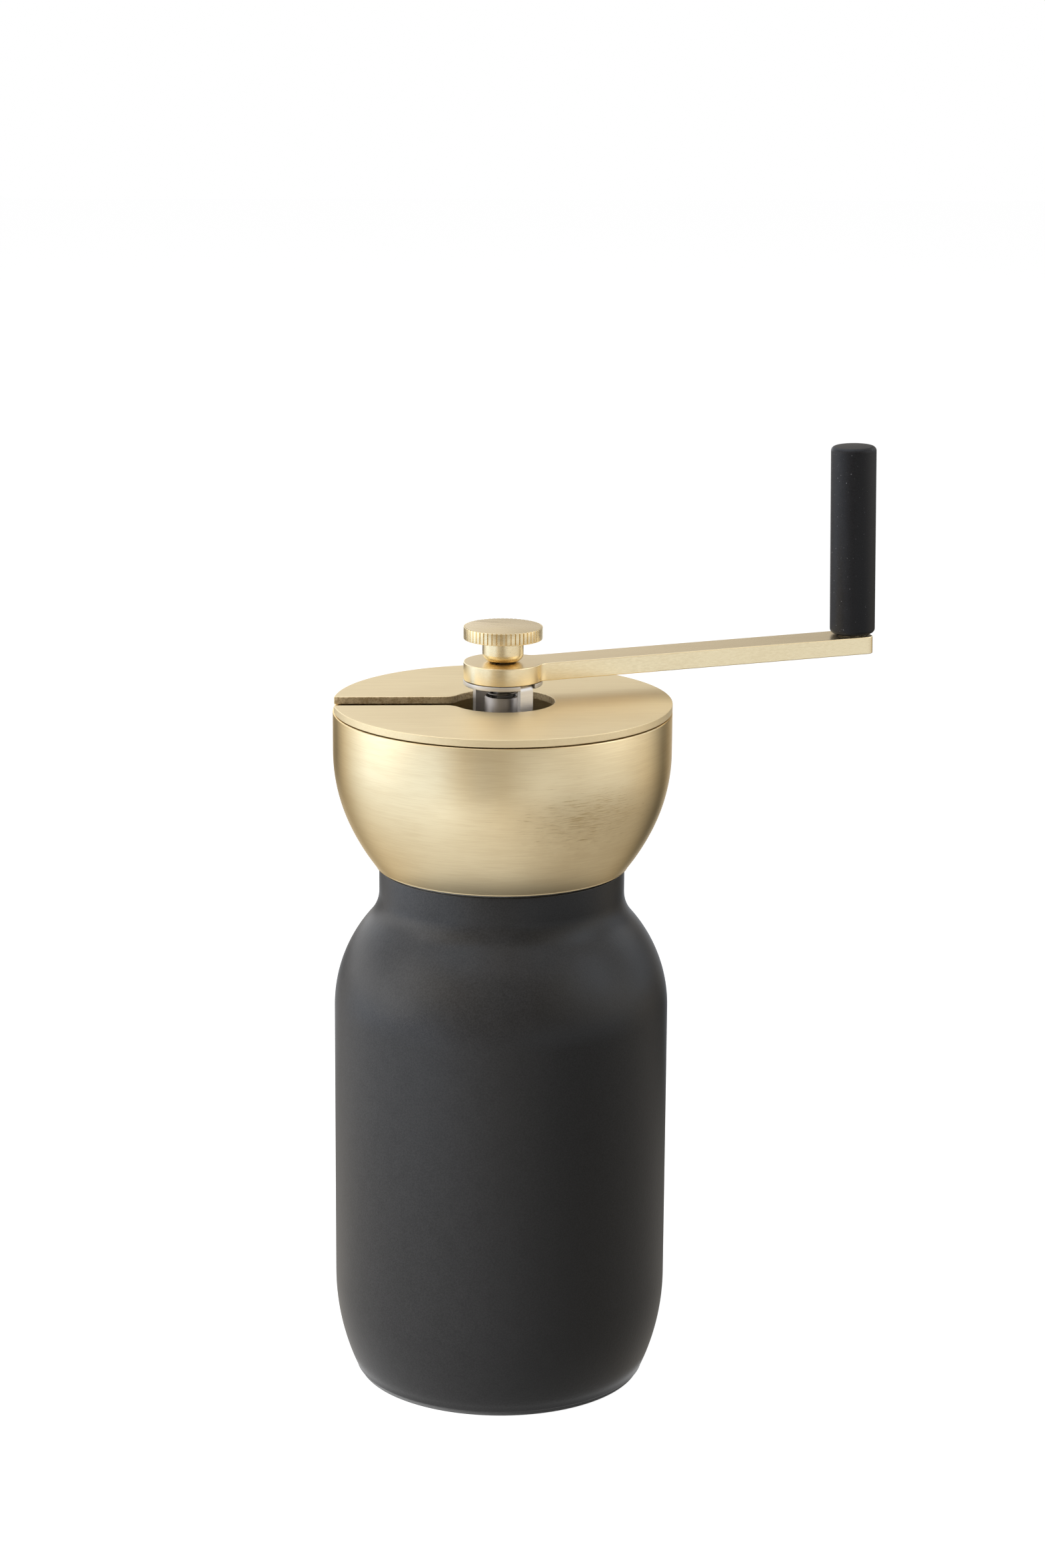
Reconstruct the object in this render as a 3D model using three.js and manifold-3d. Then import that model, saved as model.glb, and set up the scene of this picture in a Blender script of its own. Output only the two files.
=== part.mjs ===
// A manual coffee grinder: a black steel jar that catches the grounds, a brass bowl that holds the beans and
// screws into the jar's neck, a slotted brass lid, and a brass crank with an upright black grip. A shaft runs
// from the crank down through the bowl to a conical burr in the neck. Millimetres, +Z up, the origin at the
// centre of the foot, and the lid's slot pointing to -X.
import * as THREE from 'three';
import { mergeVertices } from 'three/addons/utils/BufferGeometryUtils.js';
import Module from 'manifold-3d';

const wasm = await Module();
wasm.setup();

// Clearances
const gap = 0.3;                  // between pieces that nest or turn in each other
const seat = 0.1;                 // between flat faces that rest on each other

// Jar
const jarRadius = 40;
const jarWall = 1.2;
const footRadius = 34.3;
const footThickness = 1.2;
const heelRadius = 56;            // curve from the straight side down to the foot
const heelHeight = 24.5;
const shoulderRadius = 33.4;
const neckRadius = 29.25;
const neckFillet = 10;            // hollow curve between the shoulder and the neck
const neckHeight = 5.95;          // upright part of the neck
const neckTop = 126.6;

// Screw joint between the jar and the bowl
const insertWall = 1.05;          // behind the groove of the neck's thread
const insertHeight = 8.6;
const threadDepth = 0.9;
const threadPitch = 2.5;
const threadTurns = 2;
const threadLead = 1.9;           // from the insert's lower edge up to where the collar's thread starts
const collarWall = 3.2;
const collarTail = 1;             // below the insert
const sealWidth = 0.9;
const sealThickness = 0.4;

// Bowl and lid
const bowlProud = 0.1;            // past the jar's side
const bowlWall = 1.1;
const bowlHeight = 37.45;
const bowlOverNeck = 0.7;         // how far the floor's edge stands out past the neck
const bellyHeight = 27.65;        // from the bowl's floor to where its side is upright
const bellyRadius = 41.2;
const bellyDrop = 17.25;          // the part of the side that the belly curve takes
const lidOverhang = 0.05;
const lidThickness = 1.8;
const lidHoleRadius = 12.3;
const slotClearance = 0.17;       // on each side of the adjuster nut, which slides out through the slot
const slotCorner = 3.5;

// Burr housing, hung in the bowl's floor
const housingWall = 1.8;
const housingDepth = 32.2;        // below the bowl's floor
const throatLip = 1.4;
const flangeWidth = 5.2;
const flangeThickness = 2.2;
const gasketThickness = 0.6;

// Burrs
const burrHeight = 16;
const burrDrop = 3.2;             // from the ring burr's top down to the inner burr's
const innerBurrFoot = 14.3;       // radius at its lower edge
const innerBurrTop = 8.4;
const innerBurrTeeth = 14;
const ringBurrTeeth = 18;
const toothDepth = 0.8;
const toothRun = 0.3;             // share of a tooth's pitch that its steep side takes
const toothTwist = 0.35;          // turn of each tooth over the burr's height, in radians
const grindGap = 0.45;            // between the two burrs at their lower edge
const feedGap = 5.6;              // between them at the top, where the beans enter
const springWellDepth = 4;
const retainerHeight = 2.5;
const retainerMargin = 2;         // from the inner burr's foot out to the retainer's hole
const retainerNotch = 2;
const spiderHeight = 3.5;
const spiderArm = 4;
const spiderWall = 2.3;

// Shaft and what is threaded on it
const shaftRadius = 2.75;
const endThreadStep = 0.05;       // from the square's flats in to the threaded ends
const bushWall = 1.85;
const bushFlange = 0.75;
const bushFlangeWidth = 1.4;
const squareTail = 0.8;           // square left showing above the inner burr
const burrWasherRadius = 6.5;
const burrWasherThickness = 0.7;
const burrNutRadius = 4;
const burrNutHeight = 2.6;
const threadTail = 1;             // thread left showing below the burr nut

// Bridge that carries the upper bush
const bridgeHubWall = 2.8;
const bridgeHubHeight = 4.9;
const bridgeArmThickness = 2.2;
const bridgeArmWidth = 6.5;
const bridgeFootLength = 4;
const bridgeFootThickness = 2;
const bridgeLegs = 3;
const screwRadius = 1.2;
const screwHeadRadius = 1.8;
const screwHeadHeight = 1.6;
const screwSocket = 0.9;

// Adjuster nut, with its notched wheel
const nutWall = 0.38;
const nutAboveLid = 1.35;
const nutLength = 14.1;
const nutCupDepth = 4.6;
const nutChamfer = 0.4;
const wheelRim = 1.475;           // past the lock plate's legs
const wheelThickness = 4;
const wheelNotches = 6;
const washerThickness = 0.6;

// Lock plate and its spring
const plateRadius = 9.35;
const plateThickness = 1.05;
const plateAboveNut = 2.8;
const legInset = 0.625;           // from the plate's edge in to the outer face of each leg
const legWidth = 3.8;
const legBend = 1.5;
const legLift = 1.5;              // from the wheel's underside up to the legs' ends
const legAngle = -67.05;          // degrees from the crank's bar
const lockWire = 0.55;
const lockTurns = 5;

// Crank
const crankAngle = 14.85;         // degrees from +X
const eyeRadius = 9.32;
const eyeFillet = 3;
const barHalfWidth = 4.83;
const crankThickness = 4.25;
const barCorner = 1.75;
const barRise = 1.2;              // degrees, from the eye outwards
const barEndLength = 3.95;        // past the grip's axis
const barLead = 0.5;              // level bar between the eye's fillets and the rise

// Grip
const gripAt = 88.35;             // from the shaft's axis
const gripRadius = 5.45;
const gripWall = 1.55;
const gripLength = 45.5;
const gripLift = 0.35;            // above the bar
const gripEdge = 1.1;
const gripTopWall = 5;
const pinRadius = 2;
const pinHeadRadius = 3.4;
const pinHeadHeight = 1.5;
const pinGroove = 0.5;
const clipThickness = 0.7;
const clipInset = 0.7;            // from the grip's bore in to the clip
const gripBushHeight = 7;
const gripBushInset = 0.4;        // from the grip's lower edge up to its bush
const pinEndGap = 1.5;            // from the pin's end up to the top of the grip's bore

// Thumbscrew
const knobRadius = 9.32;
const knobHeadHeight = 2.9;
const knobShankRadius = 4.88;
const knobShankHeight = 5.4;
const knobShankEdge = 2;
const knobFlutes = 54;
const fluteDepth = 0.35;
const fluteLand = 0.64;           // share of a flute's pitch that stays round
const shaftBelowHead = 0.8;       // from the thumbscrew's head down to the shaft's end
const squareBelowEye = 0.5;       // from the crank's top face down to the end of the shaft's square

// Burr spring
const burrWire = 0.6;
const burrCoilRadius = 3.8;
const burrTurns = 4;

// Steps of round shapes
const coilSteps = 12;
const coilSides = 5;
const tiny = 12;
const small = 20;
const coarse = 28;
const medium = 36;
const fine = 48;

const radians = THREE.MathUtils.degToRad;
const quarter = Math.PI / 2;

// Radii worked out from the sizes above
const bowlRadius = jarRadius + bowlProud;
const squareSide = shaftRadius * Math.SQRT2 - 0.09;   // milled from the round shaft, its corners just kept
const shaftEndRadius = squareSide / 2 - endThreadStep;
const squareHole = squareSide + 2 * gap;
const bushBore = shaftRadius + gap;
const bushRadius = bushBore + bushWall;
const neckBore = neckRadius - jarWall;
const threadRadius = neckBore - gap - insertWall - gap;
const rootRadius = threadRadius - threadDepth;
const housingRadius = rootRadius - collarWall - gap;
const housingBore = housingRadius - housingWall;
const nested = housingBore - gap;
const throatRadius = housingBore - throatLip;
const flangeRadius = housingRadius + flangeWidth;
const bridgeLegRadius = flangeRadius - bridgeFootLength;
const lockCoilRadius = shaftRadius + gap + lockWire / 2;
const nutCupRadius = lockCoilRadius + lockWire / 2 + gap;
const nutRadius = nutCupRadius + nutWall;
const slotWidth = 2 * (nutRadius + slotClearance);
const legRadius = plateRadius - legInset;
const wheelRadius = legRadius + wheelRim;
const gripBoreRadius = gripRadius - gripWall;
const clipRadius = gripBoreRadius - clipInset;
const barEnd = gripAt + barEndLength;

// Heights worked out from the sizes above
const bowlFloor = neckTop + sealThickness + 2 * seat;
const floorTop = bowlFloor + bowlWall;
const bowlRim = bowlFloor + bowlHeight;
const lidBottom = bowlRim + gap;
const lidTop = lidBottom + lidThickness;
const nutTop = lidTop + nutAboveLid;
const wheelBottom = nutTop - nutLength;
const plateBottom = nutTop + plateAboveNut;
const plateTop = plateBottom + plateThickness;
const crankBottom = plateTop + seat;
const crankTop = crankBottom + crankThickness;
const knobBottom = crankTop + seat;
const knobHeadBottom = knobBottom + knobShankHeight;
const knobTop = knobHeadBottom + knobHeadHeight;
const gasketBottom = floorTop + seat;
const flangeBottom = gasketBottom + gasketThickness + seat;
const flangeTop = flangeBottom + flangeThickness;
const footTop = flangeTop + seat + bridgeFootThickness;
const housingBottom = bowlFloor - housingDepth;
const retainerBottom = housingBottom + gap;
const burrBottom = retainerBottom + retainerHeight + gap;
const burrTop = burrBottom + burrHeight;
const innerBurrHeight = burrHeight - burrDrop;
const innerBurrTopHeight = burrBottom + innerBurrHeight;
const spiderBottom = burrTop + gap;
const spiderTop = spiderBottom + spiderHeight;
const throatBottom = spiderTop + gap;
const lowerBushBottom = spiderBottom - seat - bushFlange;
const washerBottom = wheelBottom - seat - washerThickness;
const upperBushTop = washerBottom - seat;
const hubTop = upperBushTop - bushFlange - seat;
const hubBottom = hubTop - bridgeHubHeight;
const burrWasherTop = burrBottom - gap - seat;
const burrNutTop = burrWasherTop - burrWasherThickness - seat;
const shaftBottom = burrNutTop - burrNutHeight - threadTail;
const shaftTop = knobHeadBottom - shaftBelowHead;
const lowerSquareTop = innerBurrTopHeight + squareTail;
const upperSquareBottom = nutTop - nutCupDepth / 2;
const upperSquareTop = crankTop - squareBelowEye;
const insertTop = neckTop - seat;
const insertBottom = insertTop - insertHeight;
const threadBottom = insertBottom + threadLead;
const collarBottom = insertBottom - collarTail;
const collarTop = bowlFloor - seat;
const past = 1;                   // how far a cutting shape runs past the faces that it cuts

// Mesh helpers: each shape is one closed mesh with its faces pointing out

function closed(geometry) {
  const bare = geometry.clone();
  for (const name of Object.keys(bare.attributes)) {
    if (name !== 'position') bare.deleteAttribute(name);
  }
  const merged = mergeVertices(bare, 1e-4);
  const place = merged.attributes.position;
  const kept = [];
  let volume = 0;
  const a = new THREE.Vector3();
  const b = new THREE.Vector3();
  const c = new THREE.Vector3();
  for (let i = 0; i < merged.index.count; i += 3) {
    const [u, v, w] = [0, 1, 2].map((k) => merged.index.getX(i + k));
    if (u === v || v === w || w === u) continue;
    kept.push(u, v, w);
    volume += a.fromBufferAttribute(place, u).dot(
      b.fromBufferAttribute(place, v).cross(c.fromBufferAttribute(place, w)));
  }
  if (volume < 0) kept.reverse();
  merged.setIndex(kept);
  return merged;
}

function toSolid(geometry) {
  const mesh = closed(geometry);
  return new wasm.Manifold(new wasm.Mesh({
    numProp: 3,
    vertProperties: new Float32Array(mesh.attributes.position.array),
    triVerts: new Uint32Array(mesh.index.array),
  }));
}

function toGeometry(solid) {
  const mesh = solid.getMesh();
  const geometry = new THREE.BufferGeometry();
  const places = new Float32Array(mesh.vertProperties);
  geometry.setAttribute('position', new THREE.BufferAttribute(places, 3));
  geometry.setIndex(new THREE.BufferAttribute(new Uint32Array(mesh.triVerts), 1));
  return geometry;
}

const join = (first, ...rest) =>
  toGeometry(rest.reduce((sum, item) => sum.add(toSolid(item)), toSolid(first)));
const cut = (first, ...rest) =>
  toGeometry(rest.reduce((left, item) => left.subtract(toSolid(item)), toSolid(first)));

// A profile of [radius, height] points turned round the Z axis
function turned(profile, steps) {
  const points = profile.map(([radius, height]) => new THREE.Vector2(radius, height));
  return new THREE.LatheGeometry(points, steps).rotateX(quarter);
}

const disc = (radius, bottom, top, steps = coarse) =>
  turned([[0, bottom], [radius, bottom], [radius, top], [0, top]], steps);

const ring = (inner, outer, bottom, top, steps = coarse) =>
  turned([[inner, bottom], [outer, bottom], [outer, top], [inner, top], [inner, bottom]], steps);

// Points of an arc in a profile, from one angle to another in radians
function arc(radius, centreR, centreZ, from, to, steps) {
  return Array.from({ length: steps + 1 }, (_, i) => {
    const angle = from + (to - from) * i / steps;
    return [centreR + radius * Math.cos(angle), centreZ + radius * Math.sin(angle)];
  });
}

// A closed outline of [x, y] points
const outlined = (points) => new THREE.Shape(points.map(([x, y]) => new THREE.Vector2(x, y)));

function prism(points, bottom, top) {
  return new THREE.ExtrudeGeometry(outlined(points), { depth: top - bottom, bevelEnabled: false })
    .translate(0, 0, bottom);
}

const squareBar = (side, bottom, top) =>
  new THREE.BoxGeometry(side, side, top - bottom).translate(0, 0, (bottom + top) / 2);

// A closed outline of [radius, height] points, given a width across the plane and turned about Z
function standingStrip(outline, width, degrees) {
  return new THREE.ExtrudeGeometry(outlined(outline), { depth: width, bevelEnabled: false })
    .rotateX(quarter)
    .translate(0, width / 2, 0)
    .rotateZ(radians(degrees));
}

// A section of [radius, height] points swept round the Z axis while it climbs
function helix(section, pitch, turns, stepsPerTurn) {
  const steps = Math.round(turns * stepsPerTurn);
  const sides = section.length;
  const positions = [];
  const index = [];
  for (let i = 0; i <= steps; i++) {
    const angle = 2 * Math.PI * i / stepsPerTurn;
    for (const [radius, height] of section) {
      positions.push(radius * Math.cos(angle), radius * Math.sin(angle), height + pitch * i / stepsPerTurn);
    }
  }
  for (let i = 0; i < steps; i++) {
    for (let j = 0; j < sides; j++) {
      const here = i * sides + j;
      const next = i * sides + (j + 1) % sides;
      index.push(here, next, next + sides, here, next + sides, here + sides);
    }
  }
  for (let j = 1; j < sides - 1; j++) {
    const last = steps * sides;
    index.push(0, j + 1, j, last, last + j, last + j + 1);
  }
  const geometry = new THREE.BufferGeometry();
  geometry.setAttribute('position', new THREE.Float32BufferAttribute(positions, 3));
  geometry.setIndex(index);
  return geometry;
}

// A coil spring of round wire between two heights
function coilSpring(name, wire, coilRadius, turns, bottom, top) {
  const pitch = (top - bottom - wire) / turns;
  const section = Array.from({ length: coilSides }, (_, i) => {
    const angle = 2 * Math.PI * i / coilSides;
    return [coilRadius + wire / 2 * Math.cos(angle), bottom + wire / 2 * (1 + Math.sin(angle))];
  });
  console.log(`${name}: least gap between turns ${(pitch - wire).toFixed(2)} mm`);
  return helix(section, pitch, turns, coilSteps);
}

// A cone whose radius changes along its height, cut into saw teeth that twist
function toothedCone(radiusAt, depth, teeth, bottom, top, levels) {
  const positions = [];
  const index = [];
  const sides = 2 * teeth;
  for (let i = 0; i <= levels; i++) {
    const share = i / levels;
    for (let j = 0; j < sides; j++) {
      const crest = j % 2 === 0;
      const angle = 2 * Math.PI * (Math.floor(j / 2) + (crest ? 0 : toothRun)) / teeth + toothTwist * share;
      const radius = radiusAt(share) + (crest ? 0 : depth);
      positions.push(radius * Math.cos(angle), radius * Math.sin(angle), bottom + (top - bottom) * share);
    }
  }
  for (let i = 0; i < levels; i++) {
    for (let j = 0; j < sides; j++) {
      const here = i * sides + j;
      const next = i * sides + (j + 1) % sides;
      index.push(here, next, next + sides, here, next + sides, here + sides);
    }
  }
  const foot = positions.length / 3;
  positions.push(0, 0, bottom, 0, 0, top);
  for (let j = 0; j < sides; j++) {
    const next = (j + 1) % sides;
    const upper = levels * sides;
    index.push(foot, next, j, foot + 1, upper + j, upper + next);
  }
  const geometry = new THREE.BufferGeometry();
  geometry.setAttribute('position', new THREE.Float32BufferAttribute(positions, 3));
  geometry.setIndex(index);
  return geometry;
}

// Jar

// The jar's outline from the foot to the neck, moved inwards by a distance
function jarSide(inset, foot, heelSteps, shoulderSteps) {
  const heel = heelRadius - inset;
  const shoulder = shoulderRadius - inset;
  const shoulderCentre = jarRadius - shoulderRadius;
  const hollow = neckFillet + inset;
  const hollowCentre = neckRadius + neckFillet;
  const hollowZ = neckTop - neckHeight;
  const rise = Math.sqrt((shoulder + hollow) ** 2 - (hollowCentre - shoulderCentre) ** 2);
  const meet = Math.atan2(rise, hollowCentre - shoulderCentre);
  const start = Math.asin((foot - heelHeight) / heel);
  return [
    ...arc(heel, jarRadius - heelRadius, heelHeight, start, 0, heelSteps),
    ...arc(shoulder, shoulderCentre, hollowZ - rise, 0, meet, shoulderSteps),
    ...arc(hollow, hollowCentre, hollowZ, Math.PI + meet, Math.PI, 2).slice(1),
  ];
}

function jarShell() {
  const floor = footThickness + jarWall;
  return turned([
    [0, footThickness],
    ...jarSide(0, footThickness, 4, 6),
    [neckRadius, neckTop],
    [neckBore, neckTop],
    ...jarSide(jarWall, floor, 2, 3).reverse(),
    [0, floor],
  ], fine);
}

const footPad = () => disc(footRadius, 0, footThickness, medium);

// The thread's section, from below the root out to the crest, widened for the groove that it runs in
function threadSection(widening) {
  const base = threadPitch / 4.5 + widening;
  const crest = threadPitch / 10 + widening;
  const inside = rootRadius - threadDepth / 2;
  return [
    [inside, -base],
    [rootRadius, -base],
    [threadRadius + widening, -crest],
    [threadRadius + widening, crest],
    [rootRadius, base],
    [inside, base],
  ];
}

// The groove runs past both ends of the insert, in step with the collar's thread
function neckInsert() {
  const tube = ring(rootRadius + gap, neckBore - gap, insertBottom, insertTop, coarse);
  const turnsBelow = 2;
  const turns = 2 * turnsBelow + Math.ceil(insertHeight / threadPitch);
  const groove = helix(threadSection(gap), threadPitch, turns, coarse)
    .translate(0, 0, threadBottom - turnsBelow * threadPitch);
  return cut(tube, groove);
}

function threadedCollar() {
  const tube = ring(housingRadius + gap, rootRadius, collarBottom, collarTop, coarse);
  const ridge = helix(threadSection(0), threadPitch, threadTurns, coarse).translate(0, 0, threadBottom);
  return join(tube, ridge);
}

const neckSeal = () => {
  const outer = neckRadius - seat;
  return ring(outer - sealWidth, outer, neckTop + seat, neckTop + seat + sealThickness, medium);
};

// Bowl and lid

// The bowl's side from the floor to the rim, moved inwards by a distance
function bowlSide(inset, floor, top, steps) {
  const bellyZ = bowlFloor + bellyHeight;
  const bellyCentre = bowlRadius - bellyRadius;
  const turn = Math.asin(bellyDrop / bellyRadius);
  // the lower curve leaves the belly without a kink and ends at the floor's edge
  const acrossR = neckRadius + bowlOverNeck - bellyCentre - bellyRadius * Math.cos(turn);
  const acrossZ = bellyDrop - bellyHeight;
  const basinRadius = (acrossR ** 2 + acrossZ ** 2) / 2
    / (acrossZ * Math.sin(turn) - acrossR * Math.cos(turn));
  const basinCentre = bellyCentre - (basinRadius - bellyRadius) * Math.cos(turn);
  const basinZ = bellyZ + (basinRadius - bellyRadius) * Math.sin(turn);
  const basin = basinRadius - inset;
  const start = -Math.asin((basinZ - floor) / basin);
  return [
    ...arc(basin, basinCentre, basinZ, start, -turn, steps),
    ...arc(bellyRadius - inset, bellyCentre, bellyZ, -turn, 0, steps).slice(1),
    [bowlRadius - inset, top],
  ];
}

function bowlShell() {
  const hole = housingRadius + gap;
  const edge = bowlWall / 3;
  return turned([
    [hole, bowlFloor],
    ...bowlSide(0, bowlFloor, bowlRim - edge, 4),
    [bowlRadius - edge, bowlRim],
    [bowlRadius - bowlWall, bowlRim],
    ...bowlSide(bowlWall, floorTop, bowlRim - edge, 2).reverse(),
    [hole, floorTop],
    [hole, bowlFloor],
  ], fine);
}

// One outline: round the rim, in along the slot, round the hole and out again
function lidDisc() {
  const radius = bowlRadius + lidOverhang;
  const half = slotWidth / 2;
  const rimTurn = Math.asin(half / radius);
  const cornerY = half + slotCorner;
  const cornerX = Math.sqrt((lidHoleRadius + slotCorner) ** 2 - cornerY ** 2);
  const holeTurn = Math.atan2(cornerY, cornerX);
  return prism([
    ...arc(radius, 0, 0, Math.PI + rimTurn, 3 * Math.PI - rimTurn, fine),
    ...arc(slotCorner, -cornerX, cornerY, -quarter, -holeTurn, 4),
    ...arc(lidHoleRadius, 0, 0, Math.PI - holeTurn, holeTurn - Math.PI, medium).slice(1, -1),
    ...arc(slotCorner, -cornerX, -cornerY, holeTurn, quarter, 4),
  ], lidBottom, lidTop);
}

// Burr housing and what hangs in it

function burrHousing() {
  const body = turned([
    [housingBore, housingBottom],
    [housingRadius, housingBottom],
    [housingRadius, flangeBottom],
    [flangeRadius, flangeBottom],
    [flangeRadius, flangeTop],
    [throatRadius, flangeTop],
    [throatRadius, throatBottom],
    [housingBore, throatBottom],
    [housingBore, housingBottom],
  ], coarse);
  return cut(body, ...bridgeScrewPlaces().map(([x, y]) =>
    disc(screwRadius + gap, flangeBottom - past, flangeTop + past, tiny).translate(x, y, 0)));
}

const flangeGasket = () =>
  ring(housingRadius + gap, flangeRadius, gasketBottom, gasketBottom + gasketThickness, coarse);

function burrRetainer() {
  const hole = innerBurrFoot + retainerMargin;
  const notch = new THREE.BoxGeometry(nested - hole + 2 * past, retainerNotch, retainerNotch)
    .translate((hole + nested) / 2, 0, retainerBottom);
  return cut(ring(hole, nested, retainerBottom, retainerBottom + retainerHeight, coarse),
    ...[1, 3, 5, 7].map((i) => notch.clone().rotateZ(i * quarter / 2)));
}

// Radius of the inner burr's cone at a height above its foot
const coneAt = (height) => innerBurrFoot + (innerBurrTop - innerBurrFoot) * height / innerBurrHeight;

function innerBurr() {
  const cone = toothedCone((share) => coneAt(share * innerBurrHeight) - toothDepth, toothDepth,
    innerBurrTeeth, burrBottom, innerBurrTopHeight, 3);
  const springWell = disc(burrCoilRadius + burrWire, innerBurrTopHeight - springWellDepth,
    innerBurrTopHeight + past, tiny);
  return cut(cone, squareBar(squareHole, burrBottom - past, innerBurrTopHeight + past), springWell);
}

function ringBurr() {
  const flare = (share) => coneAt(share * (burrHeight + 2 * past) - past)
    + grindGap + (feedGap - grindGap) * share ** 2;
  const mouth = toothedCone(flare, toothDepth, ringBurrTeeth, burrBottom - past, burrTop + past, 4);
  return cut(disc(nested, burrBottom, burrTop, coarse), mouth);
}

function lowerSpider() {
  const bore = bushRadius + gap;
  const arm = new THREE.BoxGeometry(nested - past, spiderArm, spiderHeight)
    .translate((nested - past) / 2, 0, (spiderBottom + spiderTop) / 2);
  const body = join(ring(nested - spiderWall, nested, spiderBottom, spiderTop, coarse),
    disc(bore + spiderWall, spiderBottom, spiderTop, small),
    ...[0, 1, 2].map((i) => arm.clone().rotateZ(2 * Math.PI * i / 3)));
  return cut(body, disc(bore, spiderBottom - past, spiderTop + past, small));
}

// A bush with a flange at one end
function flangedBush(bottom, top, flangeAtTop) {
  const flange = bushRadius + bushFlangeWidth;
  const lower = flangeAtTop ? bushRadius : flange;
  const upper = flangeAtTop ? flange : bushRadius;
  const step = flangeAtTop ? top - bushFlange : bottom + bushFlange;
  return turned([[bushBore, bottom], [lower, bottom], [lower, step], [upper, step], [upper, top],
    [bushBore, top], [bushBore, bottom]], small);
}

const lowerBush = () => flangedBush(lowerBushBottom, spiderTop, false);
const upperBush = () => flangedBush(hubBottom, upperBushTop, true);

// Bearing bridge: a hub on three legs that stand on the housing's flange

function bridgeScrewPlaces() {
  const radius = (bridgeLegRadius + flangeRadius) / 2;
  return Array.from({ length: bridgeLegs }, (_, i) => {
    const angle = quarter + 2 * Math.PI * i / bridgeLegs;
    return [radius * Math.cos(angle), radius * Math.sin(angle)];
  });
}

function bearingBridge() {
  const bore = bushRadius + gap;
  const hubRadius = bore + bridgeHubWall;
  const thick = bridgeArmThickness;
  const armTop = hubBottom + thick;
  const footBottom = flangeTop + seat;
  const outline = [
    [bore + past, hubBottom],
    [bridgeLegRadius - thick, hubBottom],
    [bridgeLegRadius - thick, footBottom],
    [flangeRadius, footBottom],
    [flangeRadius, footTop],
    [bridgeLegRadius, footTop],
    [bridgeLegRadius, armTop - thick],
    [bridgeLegRadius - thick, armTop],
    [bore + past, armTop],
  ];
  const legs = Array.from({ length: bridgeLegs }, (_, i) =>
    standingStrip(outline, bridgeArmWidth, 90 + 360 * i / bridgeLegs));
  const body = join(disc(hubRadius, hubBottom, hubTop, small), ...legs);
  const holes = bridgeScrewPlaces().map(([x, y]) =>
    disc(screwRadius + gap, footBottom - past, footTop + past, tiny).translate(x, y, 0));
  return cut(body, disc(bore, hubBottom - past, hubTop + past, small), ...holes);
}

function bridgeScrew() {
  const headBottom = footTop + seat;
  const headTop = headBottom + screwHeadHeight;
  const body = turned([
    [0, flangeBottom + gap],
    [screwRadius, flangeBottom + gap],
    [screwRadius, headBottom],
    [screwHeadRadius, headBottom],
    [screwHeadRadius, headTop],
    [0, headTop],
  ], tiny);
  const socket = new THREE.CylinderGeometry(screwSocket, screwSocket, screwHeadHeight, 6)
    .rotateX(quarter).translate(0, 0, headTop);
  return cut(body, socket);
}

// Shaft and what it carries

function mainShaft() {
  const lap = 0.1;
  return join(
    disc(shaftEndRadius, shaftBottom, burrBottom + lap, tiny),
    squareBar(squareSide, burrBottom - gap, lowerSquareTop + lap),
    disc(shaftRadius, lowerSquareTop, upperSquareBottom + lap, small),
    squareBar(squareSide, upperSquareBottom, upperSquareTop),
    disc(shaftEndRadius, upperSquareTop - lap, shaftTop, tiny),
  );
}

const burrWasher = () =>
  ring(shaftEndRadius + gap, burrWasherRadius, burrWasherTop - burrWasherThickness, burrWasherTop, small);

function burrNut() {
  const bottom = burrNutTop - burrNutHeight;
  const hexagon = new THREE.CylinderGeometry(burrNutRadius, burrNutRadius, burrNutHeight, 6)
    .rotateX(quarter).translate(0, 0, bottom + burrNutHeight / 2);
  return cut(hexagon, disc(shaftEndRadius + gap, bottom - past, burrNutTop + past, tiny));
}

const burrSpring = () => coilSpring('burr spring', burrWire, burrCoilRadius, burrTurns,
  innerBurrTopHeight - springWellDepth + seat, lowerBushBottom - seat);

function adjusterNut() {
  const wheelTop = wheelBottom + wheelThickness;
  const body = turned([
    [bushBore, wheelBottom],
    [wheelRadius, wheelBottom],
    [wheelRadius, wheelTop],
    [nutRadius, wheelTop],
    [nutRadius, nutTop - nutChamfer],
    [(nutRadius + nutCupRadius) / 2, nutTop],
    [nutCupRadius, nutTop],
    [nutCupRadius, nutTop - nutCupDepth],
    [bushBore, nutTop - nutCupDepth],
    [bushBore, wheelBottom],
  ], coarse);
  const notchInner = legRadius - plateThickness - gap;
  const notch = new THREE.BoxGeometry(wheelRadius, legWidth + 2 * gap, wheelThickness + 2 * past)
    .translate(notchInner + wheelRadius / 2, 0, wheelBottom + wheelThickness / 2);
  return cut(body, ...Array.from({ length: wheelNotches }, (_, i) =>
    notch.clone().rotateZ(radians(legAngle + 360 * i / wheelNotches))));
}

const thrustWasher = () =>
  ring(bushBore, bushRadius + bushFlangeWidth, washerBottom, washerBottom + washerThickness, small);

// Lock plate: a disc with two legs that drop into the adjuster's notches

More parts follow.
